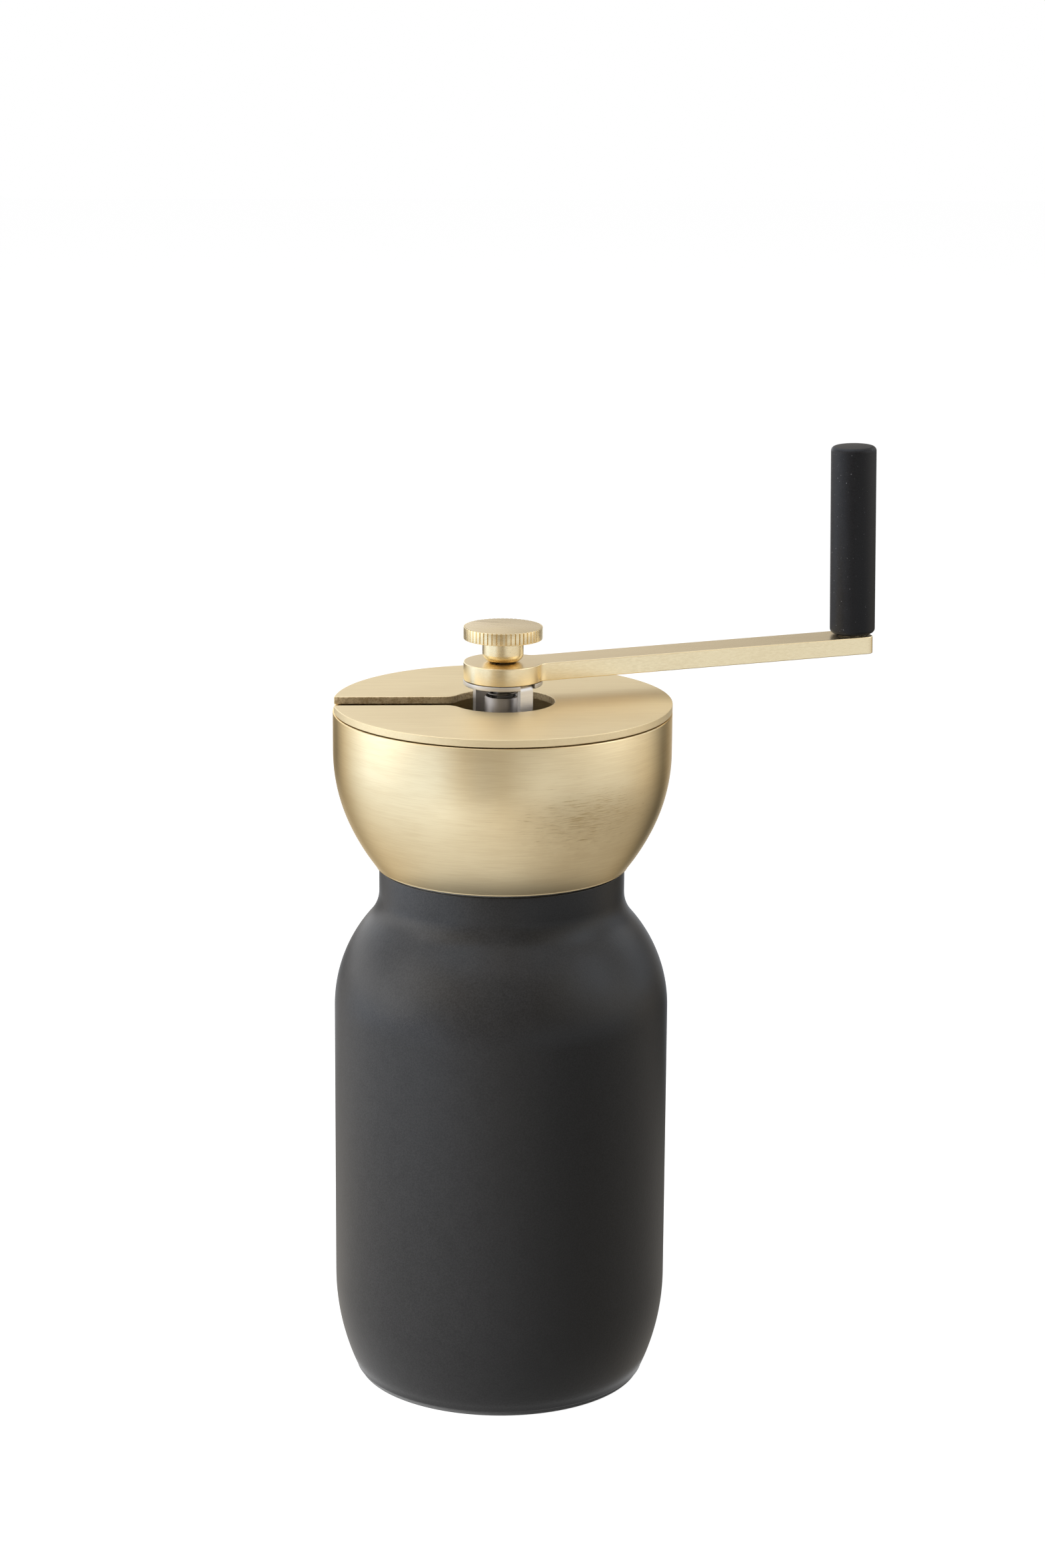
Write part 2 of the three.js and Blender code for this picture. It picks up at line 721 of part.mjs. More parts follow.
function lockPlate() {
  const inner = legRadius - plateThickness;
  const bendR = legRadius - legBend;
  const bendZ = plateTop - legBend;
  const start = plateRadius / 2;
  const outline = [
    [start, plateBottom],
    ...arc(legBend - plateThickness, bendR, bendZ, quarter, 0, 3),
    [inner, wheelBottom + legLift],
    [legRadius, wheelBottom + legLift],
    ...arc(legBend, bendR, bendZ, 0, quarter, 5),
    [start, plateTop],
  ];
  const relief = new THREE.BoxGeometry(2 * legBend + past, legWidth + 2 * gap, plateThickness + 2 * past)
    .translate(bendR + legBend + past / 2, 0, (plateBottom + plateTop) / 2);
  const sides = [legAngle, legAngle + 180];
  const face = cut(disc(plateRadius, plateBottom, plateTop, medium),
    ...sides.map((degrees) => relief.clone().rotateZ(radians(degrees))));
  const whole = join(face, ...sides.map((degrees) => standingStrip(outline, legWidth, degrees)));
  return cut(whole, squareBar(squareHole, plateBottom - past, plateTop + past));
}

const lockSpring = () => coilSpring('lock spring', lockWire, lockCoilRadius, lockTurns,
  nutTop - nutCupDepth + gap, plateBottom - seat);

// Crank, in its own frame: the bar runs along +X from the shaft's axis

const rise = radians(barRise);
const filletY = barHalfWidth + eyeFillet;
const filletX = Math.sqrt((eyeRadius + eyeFillet) ** 2 - filletY ** 2);
const riseStart = filletX + barLead;
const barTopAt = (x) => crankTop + (x - riseStart) * Math.tan(rise);
const pinHeadTop = pinHeadHeight - crankThickness;

// The grip's frame: upright on the bar's top face, which rises slightly
const gripFrame = new THREE.Matrix4().makeRotationY(-rise).setPosition(gripAt, 0, barTopAt(gripAt));
const onGrip = (geometry) => geometry.applyMatrix4(gripFrame);

function crankArm() {
  const turn = Math.atan2(filletY, filletX);
  const cornerX = barEnd - barCorner;
  const cornerY = barHalfWidth - barCorner;
  const eye = [
    ...arc(eyeRadius, 0, 0, turn, 2 * Math.PI - turn, medium),
    ...arc(eyeFillet, filletX, -filletY, Math.PI - turn, quarter, 5).slice(1),
    [riseStart, -barHalfWidth],
    [riseStart, barHalfWidth],
    ...arc(eyeFillet, filletX, filletY, -quarter, turn - Math.PI, 5).slice(0, -1),
  ];
  const bar = [
    [riseStart, -barHalfWidth],
    ...arc(barCorner, cornerX, -cornerY, -quarter, 0, 4),
    ...arc(barCorner, cornerX, cornerY, 0, quarter, 4),
    [riseStart, barHalfWidth],
  ];
  const rising = new THREE.Matrix4().makeShear(0, Math.tan(rise), 0, 0, 0, 0)
    .setPosition(0, 0, -riseStart * Math.tan(rise));
  const blank = join(
    prism(eye, crankBottom, crankTop),
    prism(bar, crankBottom, crankTop).applyMatrix4(rising),
  );
  return cut(blank,
    squareBar(squareHole, crankBottom - past, crankTop + past),
    onGrip(disc(pinRadius + gap, -crankThickness - past, past, small)),
    onGrip(disc(pinHeadRadius + gap, -crankThickness - past, pinHeadTop + seat, small)));
}

// Grip, in its own frame

const gripTop = gripLift + gripLength;
const pinTop = gripTop - gripTopWall - pinEndGap;
const gripBushBottom = gripLift + gripBushInset;
const grooveBottom = gripBushBottom + gripBushHeight + seat;

function gripPin() {
  const grooveTop = grooveBottom + clipThickness + 2 * seat;
  return turned([
    [0, seat - crankThickness],
    [pinHeadRadius, seat - crankThickness],
    [pinHeadRadius, pinHeadTop],
    [pinRadius, pinHeadTop],
    [pinRadius, grooveBottom],
    [pinRadius - pinGroove, grooveBottom],
    [pinRadius - pinGroove, grooveTop],
    [pinRadius, grooveTop],
    [pinRadius, pinTop],
    [0, pinTop],
  ], small);
}

function gripClip() {
  const bottom = grooveBottom + seat;
  const mouth = new THREE.BoxGeometry(clipRadius, pinRadius, clipThickness + 2 * past)
    .translate(clipRadius / 2 + past, 0, bottom + clipThickness / 2);
  return cut(ring(pinRadius - pinGroove + seat, clipRadius, bottom, bottom + clipThickness, small), mouth);
}

const gripBush = (bottom) =>
  ring(pinRadius + gap, gripBoreRadius - gap, bottom, bottom + gripBushHeight, small);

function gripSleeve() {
  return turned([
    [gripBoreRadius, gripLift],
    ...arc(gripEdge, gripRadius - gripEdge, gripLift + gripEdge, -quarter, 0, 3),
    ...arc(gripEdge, gripRadius - gripEdge, gripTop - gripEdge, 0, quarter, 3),
    [0, gripTop],
    [0, gripTop - gripTopWall],
    [gripBoreRadius, gripTop - gripTopWall],
    [gripBoreRadius, gripLift],
  ], coarse);
}

// Thumbscrew: a fluted head on a round shank that presses on the crank's eye

function thumbscrew() {
  const step = 2 * Math.PI / knobFlutes;
  const outline = [];
  for (let i = 0; i < knobFlutes; i++) {
    for (const [share, radius] of [[0, knobRadius], [fluteLand, knobRadius],
      [(1 + fluteLand) / 2, knobRadius - fluteDepth]]) {
      outline.push([radius * Math.cos(step * (i + share)), radius * Math.sin(step * (i + share))]);
    }
  }
  const lap = 0.2;
  const shank = turned([
    [0, knobBottom],
    ...arc(knobShankEdge, knobShankRadius - knobShankEdge, knobBottom + knobShankEdge, -quarter, 0, 4),
    [knobShankRadius, knobHeadBottom + lap],
    [0, knobHeadBottom + lap],
  ], coarse);
  return cut(join(prism(outline, knobHeadBottom, knobTop), shank),
    disc(shaftEndRadius + gap, knobBottom - past, shaftTop + gap, tiny));
}

// Finishes

const finish = (color, roughness, metalness) =>
  new THREE.MeshStandardMaterial({ color, roughness, metalness });
const brass = finish(0xd8c196, 0.38, 1);
const blackCoat = finish(0x2b2a2b, 0.6, 0);
const blackGrip = finish(0x232325, 0.7, 0);
const rubber = finish(0x4a4a4a, 0.85, 0);
const steel = finish(0xa9a6a2, 0.4, 1);
const springSteel = finish(0x6f6d6a, 0.35, 1);
const burrSteel = finish(0x8b8986, 0.5, 1);
const bearingPlastic = finish(0xd9d6cc, 0.5, 0);

// The grinder

function piece(group, name, geometry, material) {
  const mesh = new THREE.Mesh(closed(geometry), material);
  mesh.name = name;
  group.add(mesh);
  return mesh;
}

function jarGroup() {
  const group = new THREE.Group();
  piece(group, 'jar_shell', jarShell(), blackCoat);
  piece(group, 'foot_pad', footPad(), rubber);
  piece(group, 'neck_insert', neckInsert(), steel);
  piece(group, 'neck_seal', neckSeal(), rubber);
  return group;
}

function headGroup() {
  const group = new THREE.Group();
  piece(group, 'bowl', bowlShell(), brass);
  piece(group, 'lid', lidDisc(), brass);
  piece(group, 'threaded_collar', threadedCollar(), steel);
  piece(group, 'flange_gasket', flangeGasket(), rubber);
  piece(group, 'burr_housing', burrHousing(), steel);
  piece(group, 'burr_retainer', burrRetainer(), steel);
  piece(group, 'ring_burr', ringBurr(), burrSteel);
  piece(group, 'lower_spider', lowerSpider(), steel);
  piece(group, 'lower_bush', lowerBush(), bearingPlastic);
  piece(group, 'bearing_bridge', bearingBridge(), steel);
  piece(group, 'upper_bush', upperBush(), bearingPlastic);
  bridgeScrewPlaces().forEach(([x, y], i) => {
    piece(group, `bridge_screw_${i + 1}`, bridgeScrew(), steel).position.set(x, y, 0);
  });
  return group;
}

function spindleGroup() {
  const group = new THREE.Group();
  group.rotation.z = radians(crankAngle);
  piece(group, 'main_shaft', mainShaft(), steel);
  piece(group, 'inner_burr', innerBurr(), burrSteel);
  piece(group, 'burr_washer', burrWasher(), steel);
  piece(group, 'burr_nut', burrNut(), steel);
  piece(group, 'burr_spring', burrSpring(), springSteel);
  piece(group, 'adjuster_nut', adjusterNut(), steel);
  piece(group, 'thrust_washer', thrustWasher(), steel);
  piece(group, 'lock_spring', lockSpring(), springSteel);
  piece(group, 'lock_plate', lockPlate(), steel);
  return group;
}

function gripGroup() {
  const group = new THREE.Group();
  group.applyMatrix4(gripFrame);
  piece(group, 'grip_pin', gripPin(), steel);
  piece(group, 'grip_clip', gripClip(), springSteel);
  piece(group, 'grip_lower_bush', gripBush(gripBushBottom), bearingPlastic);
  piece(group, 'grip_upper_bush', gripBush(pinTop - gripBushHeight), bearingPlastic);
  piece(group, 'grip_sleeve', gripSleeve(), blackGrip);
  return group;
}

function crankGroup() {
  const group = new THREE.Group();
  group.rotation.z = radians(crankAngle);
  piece(group, 'crank_arm', crankArm(), brass);
  piece(group, 'thumbscrew', thumbscrew(), brass);
  group.add(gripGroup());
  return group;
}

const grinder = new THREE.Group();
grinder.add(jarGroup(), headGroup(), spindleGroup(), crankGroup());

export default grinder;
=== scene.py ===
import math
import bmesh
import bpy
from mathutils import Matrix, Vector


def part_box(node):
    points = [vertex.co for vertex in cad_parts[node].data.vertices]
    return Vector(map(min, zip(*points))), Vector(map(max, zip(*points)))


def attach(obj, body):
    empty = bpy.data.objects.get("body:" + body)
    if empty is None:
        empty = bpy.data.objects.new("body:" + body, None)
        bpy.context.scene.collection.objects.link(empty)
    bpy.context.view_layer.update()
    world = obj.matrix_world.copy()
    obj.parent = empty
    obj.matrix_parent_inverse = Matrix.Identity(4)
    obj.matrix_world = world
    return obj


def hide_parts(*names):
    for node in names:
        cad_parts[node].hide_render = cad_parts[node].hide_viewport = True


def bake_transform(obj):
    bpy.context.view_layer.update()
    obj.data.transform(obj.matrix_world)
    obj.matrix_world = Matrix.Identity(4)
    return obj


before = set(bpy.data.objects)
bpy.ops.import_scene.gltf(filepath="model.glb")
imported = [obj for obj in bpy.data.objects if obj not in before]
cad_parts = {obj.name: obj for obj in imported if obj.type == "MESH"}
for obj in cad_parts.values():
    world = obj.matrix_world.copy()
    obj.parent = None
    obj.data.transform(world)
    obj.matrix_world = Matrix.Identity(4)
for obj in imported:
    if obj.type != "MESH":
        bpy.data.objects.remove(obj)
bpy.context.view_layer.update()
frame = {"nodes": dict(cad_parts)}
nodes = frame["nodes"]
tolerance = 1e-6         # points closer than this are one
print("grinder frame loaded:", len(nodes), "CAD pieces")


# Selecting and shaping, as by hand

def clearSelection():
    if bpy.context.mode != "OBJECT":
        bpy.ops.object.mode_set(mode="OBJECT")
    bpy.ops.object.select_all(action="DESELECT")


def takeUp(piece):
    clearSelection()
    piece.select_set(True)
    bpy.context.view_layer.objects.active = piece


def named(name):
    piece = bpy.context.active_object      # the primitive just added
    piece.name = piece.data.name = name
    bpy.ops.object.transform_apply(location=True, rotation=True, scale=True)
    return piece


def editAll():
    bpy.ops.object.mode_set(mode="EDIT")
    bpy.ops.mesh.select_mode(type="VERT")
    bpy.ops.mesh.select_all(action="SELECT")


def pick(piece, wanted):
    # in edit mode: selects the vertices that are wanted, and the edges and faces between them
    mesh = bmesh.from_edit_mesh(piece.data)
    bpy.ops.mesh.select_all(action="DESELECT")
    for vertex in mesh.verts:
        if wanted(vertex.co):
            vertex.select_set(True)
    mesh.select_flush(True)
    bmesh.update_edit_mesh(piece.data)


def smooth(piece, angle=35):
    takeUp(piece)
    bpy.ops.object.shade_smooth_by_angle(angle=math.radians(angle))
    return piece


def tidy(piece, smoothAngle=35):
    # in edit mode: joins doubled vertices, turns the faces outwards and smooths them
    bpy.ops.mesh.select_all(action="SELECT")
    bpy.ops.mesh.remove_doubles(threshold=tolerance)
    bpy.ops.mesh.normals_make_consistent(inside=False)
    return smooth(piece, smoothAngle)


def applied(piece, kind, **settings):
    takeUp(piece)
    modifier = piece.modifiers.new(kind.title(), kind)
    for key, value in settings.items():
        setattr(modifier, key, value)
    bpy.ops.object.modifier_apply(modifier=modifier.name)
    return piece


def softenEdges(piece, width, segments=3, above=30):
    return applied(piece, "BEVEL", width=width, segments=segments, limit_method="ANGLE",
                   angle_limit=math.radians(above), harden_normals=False)


def carve(piece, tool, operation="DIFFERENCE"):
    applied(piece, "BOOLEAN", object=tool, operation=operation, solver="EXACT")
    bpy.data.objects.remove(tool)
    return piece


def roundBar(radius, low, high, steps=48):
    clearSelection()
    bpy.ops.mesh.primitive_cylinder_add(vertices=steps, radius=radius, depth=high - low,
                                        location=(0, 0, (low + high) / 2))
    return named("tool")


def squareBar(size, centre, turn=0):
    clearSelection()
    bpy.ops.mesh.primitive_cube_add(size=1, location=centre, rotation=(0, 0, turn))
    bpy.context.active_object.scale = size
    return named("tool")


# Rings of a turned piece: points (radius, height) of an arc, and a small rounded corner

def arcRings(radius, centreR, centreZ, start, end, steps):
    angles = [start + (end - start) * i / steps for i in range(steps + 1)]
    return [(centreR + radius * math.cos(a), centreZ + radius * math.sin(a)) for a in angles]


def cornerRings(before, corner, after, size, steps=3):
    # a rounded corner between two straight runs of rings
    here = Vector(corner)
    first = here + (Vector(before) - here).normalized() * size
    last = here + (Vector(after) - here).normalized() * size
    curve = []
    for i in range(steps + 1):
        share = i / steps
        curve.append(tuple(first * (1 - share) ** 2 + here * 2 * share * (1 - share) + last * share ** 2))
    return curve


def turnRings(name, rings, steps, solid=True):
    # a circle that is extruded and resized from ring to ring; solid closes both ends
    clearSelection()
    radius, height = rings[0]
    bpy.ops.mesh.primitive_circle_add(vertices=steps, radius=radius, location=(0, 0, height),
                                      fill_type="NGON" if solid else "NOTHING")
    piece = named(name)
    editAll()
    for nextRadius, nextHeight in rings[1:]:
        bpy.ops.mesh.extrude_region_move(TRANSFORM_OT_translate={"value": (0, 0, nextHeight - height)})
        ratio = nextRadius / radius
        bpy.ops.transform.resize(value=(ratio, ratio, 1), center_override=(0, 0, nextHeight))
        radius, height = nextRadius, nextHeight
    return tidy(piece)


def spinBy(degrees, centre, axis, steps):
    # the operator turns clockwise about the axis, so the angle is turned round
    bpy.ops.mesh.spin(steps=steps, angle=-math.radians(degrees), center=centre, axis=axis)


def sweepOutline(name, start, low, high, moves):
    # an upright edge drawn round the outline: straight runs are extruded, arcs are spun, both ends filled
    width = 0.001        # of the plane whose edge is kept
    clearSelection()
    bpy.ops.mesh.primitive_plane_add(size=1, location=(start[0], start[1], (low + high) / 2),
                                     rotation=(math.pi / 2, 0, 0))
    bpy.context.active_object.scale = (width, high - low, 1)
    piece = named(name)
    editAll()
    pick(piece, lambda co: co.x < start[0])
    bpy.ops.mesh.delete(type="VERT")
    bpy.ops.mesh.select_all(action="SELECT")
    bpy.ops.transform.translate(value=(-width / 2, 0, 0))
    here = Vector(start)
    for move in moves:
        if move[0] == "to":
            there = Vector(move[1])
            bpy.ops.mesh.extrude_region_move(TRANSFORM_OT_translate={"value": (*(there - here), 0)})
        else:
            centre, degrees, steps = move[1:]
            spinBy(degrees, (*centre, 0), (0, 0, 1), steps)
            there = Vector(centre) + Matrix.Rotation(math.radians(degrees), 2) @ (here - Vector(centre))
        here = there
    bpy.ops.mesh.select_all(action="SELECT")
    bpy.ops.mesh.remove_doubles(threshold=2 * tolerance)
    for height in (low, high):
        pick(piece, lambda co: abs(co.z - height) < tolerance)
        bpy.ops.mesh.edge_face_add()
    return tidy(piece)


# Finishes: a wire is a node's output, and sums on wires add Maths nodes

class Wire:
    def __init__(self, nodes, socket):
        self.nodes = nodes
        self.socket = socket

    def sum(self, operation, first, second):
        return self.nodes.add("ShaderNodeMath", {"operation": operation}, {0: first, 1: second})

    def __add__(self, other):
        return self.sum("ADD", self, other)

    def __radd__(self, other):
        return self.sum("ADD", other, self)

    def __sub__(self, other):
        return self.sum("SUBTRACT", self, other)

    def __mul__(self, other):
        return self.sum("MULTIPLY", self, other)


class Nodes:
    # one node tree, and the shader that is fed
    def __init__(self, tree, shader):
        self.tree = tree
        self.shader = tree.nodes[shader]

    def add(self, kind, settings=None, sockets=None, output=0):
        node = self.tree.nodes.new(kind)
        for key, value in (settings or {}).items():
            if key == "stops":
                self.setStops(node.color_ramp, value)
            else:
                setattr(node, key, value)
        for key, value in (sockets or {}).items():
            self.join(node.inputs[key], value)
        return Wire(self, node.outputs[output])

    def join(self, socket, value):
        if isinstance(value, Wire):
            self.tree.links.new(value.socket, socket)
        elif isinstance(value, tuple) and len(value) == 3 and socket.type == "RGBA":
            socket.default_value = (*value, 1)
        else:
            socket.default_value = value

    def setStops(self, ramp, stops):
        while len(ramp.elements) < len(stops):
            ramp.elements.new(0.5)
        for element, (position, colour) in zip(ramp.elements, stops):
            element.position = position
            element.color = (*colour, 1)

    def feed(self, **sockets):
        for key, value in sockets.items():
            self.join(self.shader.inputs[key.replace("_", " ")], value)

    def between(self, value, low, high):
        # 0 below low, 1 above high, and a soft step between them
        return self.add("ShaderNodeMapRange", {"interpolation_type": "SMOOTHSTEP"},
                        {"Value": value, "From Min": low, "From Max": high})

    def tint(self, mask, first, second):
        return self.add("ShaderNodeMix", {"data_type": "RGBA"}, {0: mask, 6: first, 7: second}, output=2)

    def seen(self):
        # 1 for the rays that show the background: the camera's, and those in metal and glass
        camera, glossy, transmission = [self.add("ShaderNodeLightPath", output=f"Is {kind} Ray")
                                        for kind in ("Camera", "Glossy", "Transmission")]
        return camera + glossy + transmission


class Finish(Nodes):
    def __init__(self, name, **fixed):
        self.material = bpy.data.materials.new(name)
        self.material.use_nodes = True
        super().__init__(self.material.node_tree, "Principled BSDF")
        for key, value in fixed.items():
            self.shader.inputs[key.replace("_", " ")].default_value = value
        self.place = self.add("ShaderNodeTexCoord", output="Object")

    def grain(self, scale, detail=2, turn=0, roughness=0.5, shift=0):
        # noise stretched by the three scales, which are in features per metre
        spread = self.add("ShaderNodeMapping", {}, {"Vector": self.place, "Rotation": (0, 0, turn),
                                                    "Location": (shift, shift, shift), "Scale": scale})
        return self.add("ShaderNodeTexNoise", {}, {"Vector": spread, "Scale": 1, "Detail": detail,
                                                   "Roughness": roughness})

    def distance(self, centre, size):
        # 0 at the centre and 1 at the edge of an ellipsoid
        away = self.add("ShaderNodeVectorMath", {"operation": "SUBTRACT"}, {0: self.place, 1: centre})
        away = self.add("ShaderNodeVectorMath", {"operation": "DIVIDE"}, {0: away, 1: size})
        return self.add("ShaderNodeVectorMath", {"operation": "LENGTH"}, {0: away}, output="Value")

    def uneven(self, middle, spread, grain):
        # a value that the grain moves up and down round its middle
        return middle - spread / 2 + grain * spread

    def bump(self, height, depth, strength):
        return self.add("ShaderNodeBump", {}, {"Strength": strength, "Distance": depth, "Height": height})


def dress(piece, finish):
    if isinstance(finish, Finish):
        finish = finish.material
    piece.data.materials.clear()
    piece.data.materials.append(finish)


def stand(piece, body, slot, *replaced):
    # the piece rides on its body and stands for its CAD nodes
    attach(piece, body)
    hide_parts(*replaced)
    low = [min(corner[i] for corner in piece.bound_box) for i in range(3)]
    high = [max(corner[i] for corner in piece.bound_box) for i in range(3)]
    boxes = [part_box(node) for node in replaced]
    off = [min(b[0][i] for b in boxes) - low[i] for i in range(3)]
    off += [high[i] - max(b[1][i] for b in boxes) for i in range(3)]
    past, short = 1000 * max(off), -1000 * min(off)
    print(f"{piece.name}: {len(piece.data.polygons)} faces, past its CAD box by at most {past:.3f} mm,"
          f" short of it by at most {short:.3f} mm")


crankTurn = math.radians(14.85)      # the crank's rest angle from +X


# Brass

brass = {
    "pale": (0.89, 0.745, 0.475), "worn": (0.70, 0.54, 0.31), "scratchesAndPaintedReflection": (0.50, 0.36, 0.17),
    "strokeShare": 0.45, "bandShare": 0.25, "cloudShare": 0.3, "cloudGrain": (70, 70, 70),
    "colourSpread": (0.38, 0.64), "roughSpread": 0.1, "strokeDepth": 0.000012, "bumpStrength": 0.35,
}
# bowl marks: the mottled darker patch at the front right is a painted dark reflection; the scratches there are
# real bumps, and their dark brown is partly painted reflection
scratchesAndPaintedReflection = {
    "edgeTint": (0.95, 0.80, 0.58, 1),
    "paintedReflectionAt": (0.0180, -0.0340, 0.1434), "paintedReflectionSize": (0.030, 0.030, 0.0135), "paintedReflection": 0.45,
    "scratchAt": (0.0188, -0.0336, 0.1472), "scratchSize": (0.0135, 0.0135, 0.0062), "scratchAndReflectionTint": 0.75,
    "mottleGrain": (500, 500, 900), "mottleSpread": (0.1, 0.75), "scratchGrain": (300, 300, 5200),
    "scratchFade": 0.16, "scratchSpread": (0.36, 0.62), "scratchRough": 0.08, "scratchDepth": 2,
}
brassCut = {
    "pale": (0.9, 0.75, 0.5), "dark": (0.62, 0.47, 0.27), "speckleShare": 0.7, "cloudShare": 0.3,
    "colourSpread": (0.4, 0.62), "roughness": 0.5, "roughSpread": 0.2, "depth": 0.00005, "bumpStrength": 0.5,
}


def brassFinish(name, fine, broad, roughness, wear, turn=0, anisotropy=0, marks=None):
    # fine and broad are the scales of the two brushed grains, wear is how much of the darker tone shows
    finish = Finish(name, Metallic=1, Anisotropic=anisotropy, Anisotropic_Rotation=0.25)
    strokes = finish.grain(fine, 3, turn)
    bands = finish.grain(broad, 3, turn, shift=0.7)
    clouds = finish.grain(brass["cloudGrain"], 3)
    mixed = strokes * brass["strokeShare"] + bands * brass["bandShare"] + clouds * brass["cloudShare"]
    worn = finish.between(mixed, *brass["colourSpread"])
    colour = finish.tint(worn * wear, brass["pale"], brass["worn"])
    rough = finish.uneven(roughness, brass["roughSpread"], strokes)
    height = strokes
    if marks:
        finish.shader.inputs["Specular Tint"].default_value = marks["edgeTint"]
        # painted dark reflection: a mottled darker brass tone in a patch at the bowl's front right
        paintedReflection = finish.between(finish.distance(marks["paintedReflectionAt"], marks["paintedReflectionSize"]), 1, 0)
        mottle = finish.between(finish.grain(marks["mottleGrain"], 3, shift=0.2), *marks["mottleSpread"])
        colour = finish.tint(paintedReflection * mottle * marks["paintedReflection"], colour, brass["worn"])
        # scratches: real bumps and rougher brass, tinted dark brown; the dark brown is partly a painted dark
        # reflection
        scratches = finish.grain(marks["scratchGrain"], 3, roughness=0.6, shift=0.4)
        near = finish.distance(marks["scratchAt"], marks["scratchSize"])
        cut = finish.between(scratches - near * marks["scratchFade"], *marks["scratchSpread"])
        colour = finish.tint(cut * marks["scratchAndReflectionTint"], colour, brass["scratchesAndPaintedReflection"])
        rough = rough + cut * marks["scratchRough"]
        height = strokes - cut * marks["scratchDepth"]
    finish.feed(Base_Color=colour, Roughness=rough,
                Normal=finish.bump(height, brass["strokeDepth"], brass["bumpStrength"]))
    return finish


def brassCutFinish():
    # sawn edges of the lid: rougher, speckled
    finish = Finish("brassCut", Metallic=1)
    speckle = finish.grain((1500, 1500, 1500), 3, roughness=0.7)
    clouds = finish.grain((300, 300, 300), 2, shift=0.4)
    mixed = speckle * brassCut["speckleShare"] + clouds * brassCut["cloudShare"]
    colour = finish.tint(finish.between(mixed, *brassCut["colourSpread"]), brassCut["pale"], brassCut["dark"])
    finish.feed(Base_Color=colour, Roughness=brassCut["roughness"] + speckle * brassCut["roughSpread"],
                Normal=finish.bump(speckle, brassCut["depth"], brassCut["bumpStrength"]))
    return finish


# Coats, steels and soft materials

coat = {
    "peelScale": 0.42, "wideTimes": 9, "fineShare": 0.8, "wideShare": 0.2, "colourSpread": (0.3, 0.7),
    "dustScale": 0.8, "dustSpread": (0.74, 0.8), "dust": (0.3, 0.3, 0.32), "roughSpread": 0.12,
    "fineHeight": 0.4, "peelHeight": 0.6, "bumpStrength": 0.6,
}
steelGrain = {"clouds": (120, 120, 120), "strokeShare": 0.6, "cloudShare": 0.4, "roughSpread": 0.1,
              "depth": 0.000008, "bumpStrength": 0.35}
plainGrain = {"roughSpread": 0.1, "depth": 0.00002, "bumpStrength": 0.4}


def coatFinish(name, tone, high, grains, roughness, depth, specular, specks=0):
    # fine grain over a soft orange peel
    finish = Finish(name, Metallic=0, Specular_IOR_Level=specular)
    fine = finish.grain((grains,) * 3, 2, roughness=0.6)
    peel = finish.grain((grains * coat["peelScale"],) * 3, 1, shift=0.6)
    wide = finish.grain((grains / coat["wideTimes"],) * 3, 3, shift=0.3)
    mixed = fine * coat["fineShare"] + wide * coat["wideShare"]
    colour = finish.tint(finish.between(mixed, *coat["colourSpread"]), tone, high)
    if specks:
        motes = finish.grain((grains * coat["dustScale"],) * 3, 1, shift=0.9)
        colour = finish.tint(finish.between(motes, *coat["dustSpread"]) * specks, colour, coat["dust"])
    height = fine * coat["fineHeight"] + peel * coat["peelHeight"]
    finish.feed(Base_Color=colour, Roughness=finish.uneven(roughness, coat["roughSpread"], fine),
                Normal=finish.bump(height, depth, coat["bumpStrength"]))
    return finish


def steelFinish(name, tone, dark, roughness, fine, turn=0, anisotropy=0.5):
    finish = Finish(name, Metallic=1, Anisotropic=anisotropy, Anisotropic_Rotation=0.25)
    strokes = finish.grain(fine, 3, turn)
    clouds = finish.grain(steelGrain["clouds"], 2)
    mixed = strokes * steelGrain["strokeShare"] + clouds * steelGrain["cloudShare"]
    finish.feed(Base_Color=finish.tint(mixed, dark, tone),
                Roughness=finish.uneven(roughness, steelGrain["roughSpread"], strokes),
                Normal=finish.bump(strokes, steelGrain["depth"], steelGrain["bumpStrength"]))
    return finish


def plainFinish(name, tone, shade, grains, roughness):
    # rubber and bearing plastic: fine grain, a little uneven
    finish = Finish(name, Metallic=0)
    fine = finish.grain((grains,) * 3, 2)
    finish.feed(Base_Color=finish.tint(fine, shade, tone),
                Roughness=finish.uneven(roughness, plainGrain["roughSpread"], fine),
                Normal=finish.bump(fine, plainGrain["depth"], plainGrain["bumpStrength"]))
    return finish


bowlBrass = brassFinish("brassTurned", (170, 170, 4200), (50, 50, 700), 0.31, 0.36, anisotropy=0.75,
                        marks=scratchesAndPaintedReflection)
lidBrass = brassFinish("brassLid", (90, 3200, 3200), (25, 420, 420), 0.5, 0.25)
lidCut = brassCutFinish()
barBrass = brassFinish("brassBar", (90, 3200, 3200), (25, 420, 420), 0.25, 0.22, turn=-crankTurn)
knobBrass = brassFinish("brassKnob", (260, 3200, 3200), (60, 420, 420), 0.27, 0.15, anisotropy=0.3)
jarCoat = coatFinish("blackCoat", (0.019, 0.0187, 0.019), (0.030, 0.0295, 0.030), 2600, 0.34, 0.00005, 0.3)
gripCoat = coatFinish("blackGrip", (0.006, 0.006, 0.007), (0.011, 0.011, 0.0125), 3200, 0.42, 0.00003, 0.25,
                      specks=0.5)
steel = steelFinish("brushedSteel", (0.66, 0.65, 0.63), (0.46, 0.45, 0.43), 0.38, (60, 60, 3000))
plateSteel = steelFinish("plateSteel", (0.76, 0.74, 0.72), (0.56, 0.54, 0.52), 0.45, (60, 60, 3600),
                         anisotropy=0.2)
nutSteel = steelFinish("nutSteel", (0.46, 0.44, 0.43), (0.33, 0.31, 0.30), 0.44, (3000, 3000, 200),
                       anisotropy=0)
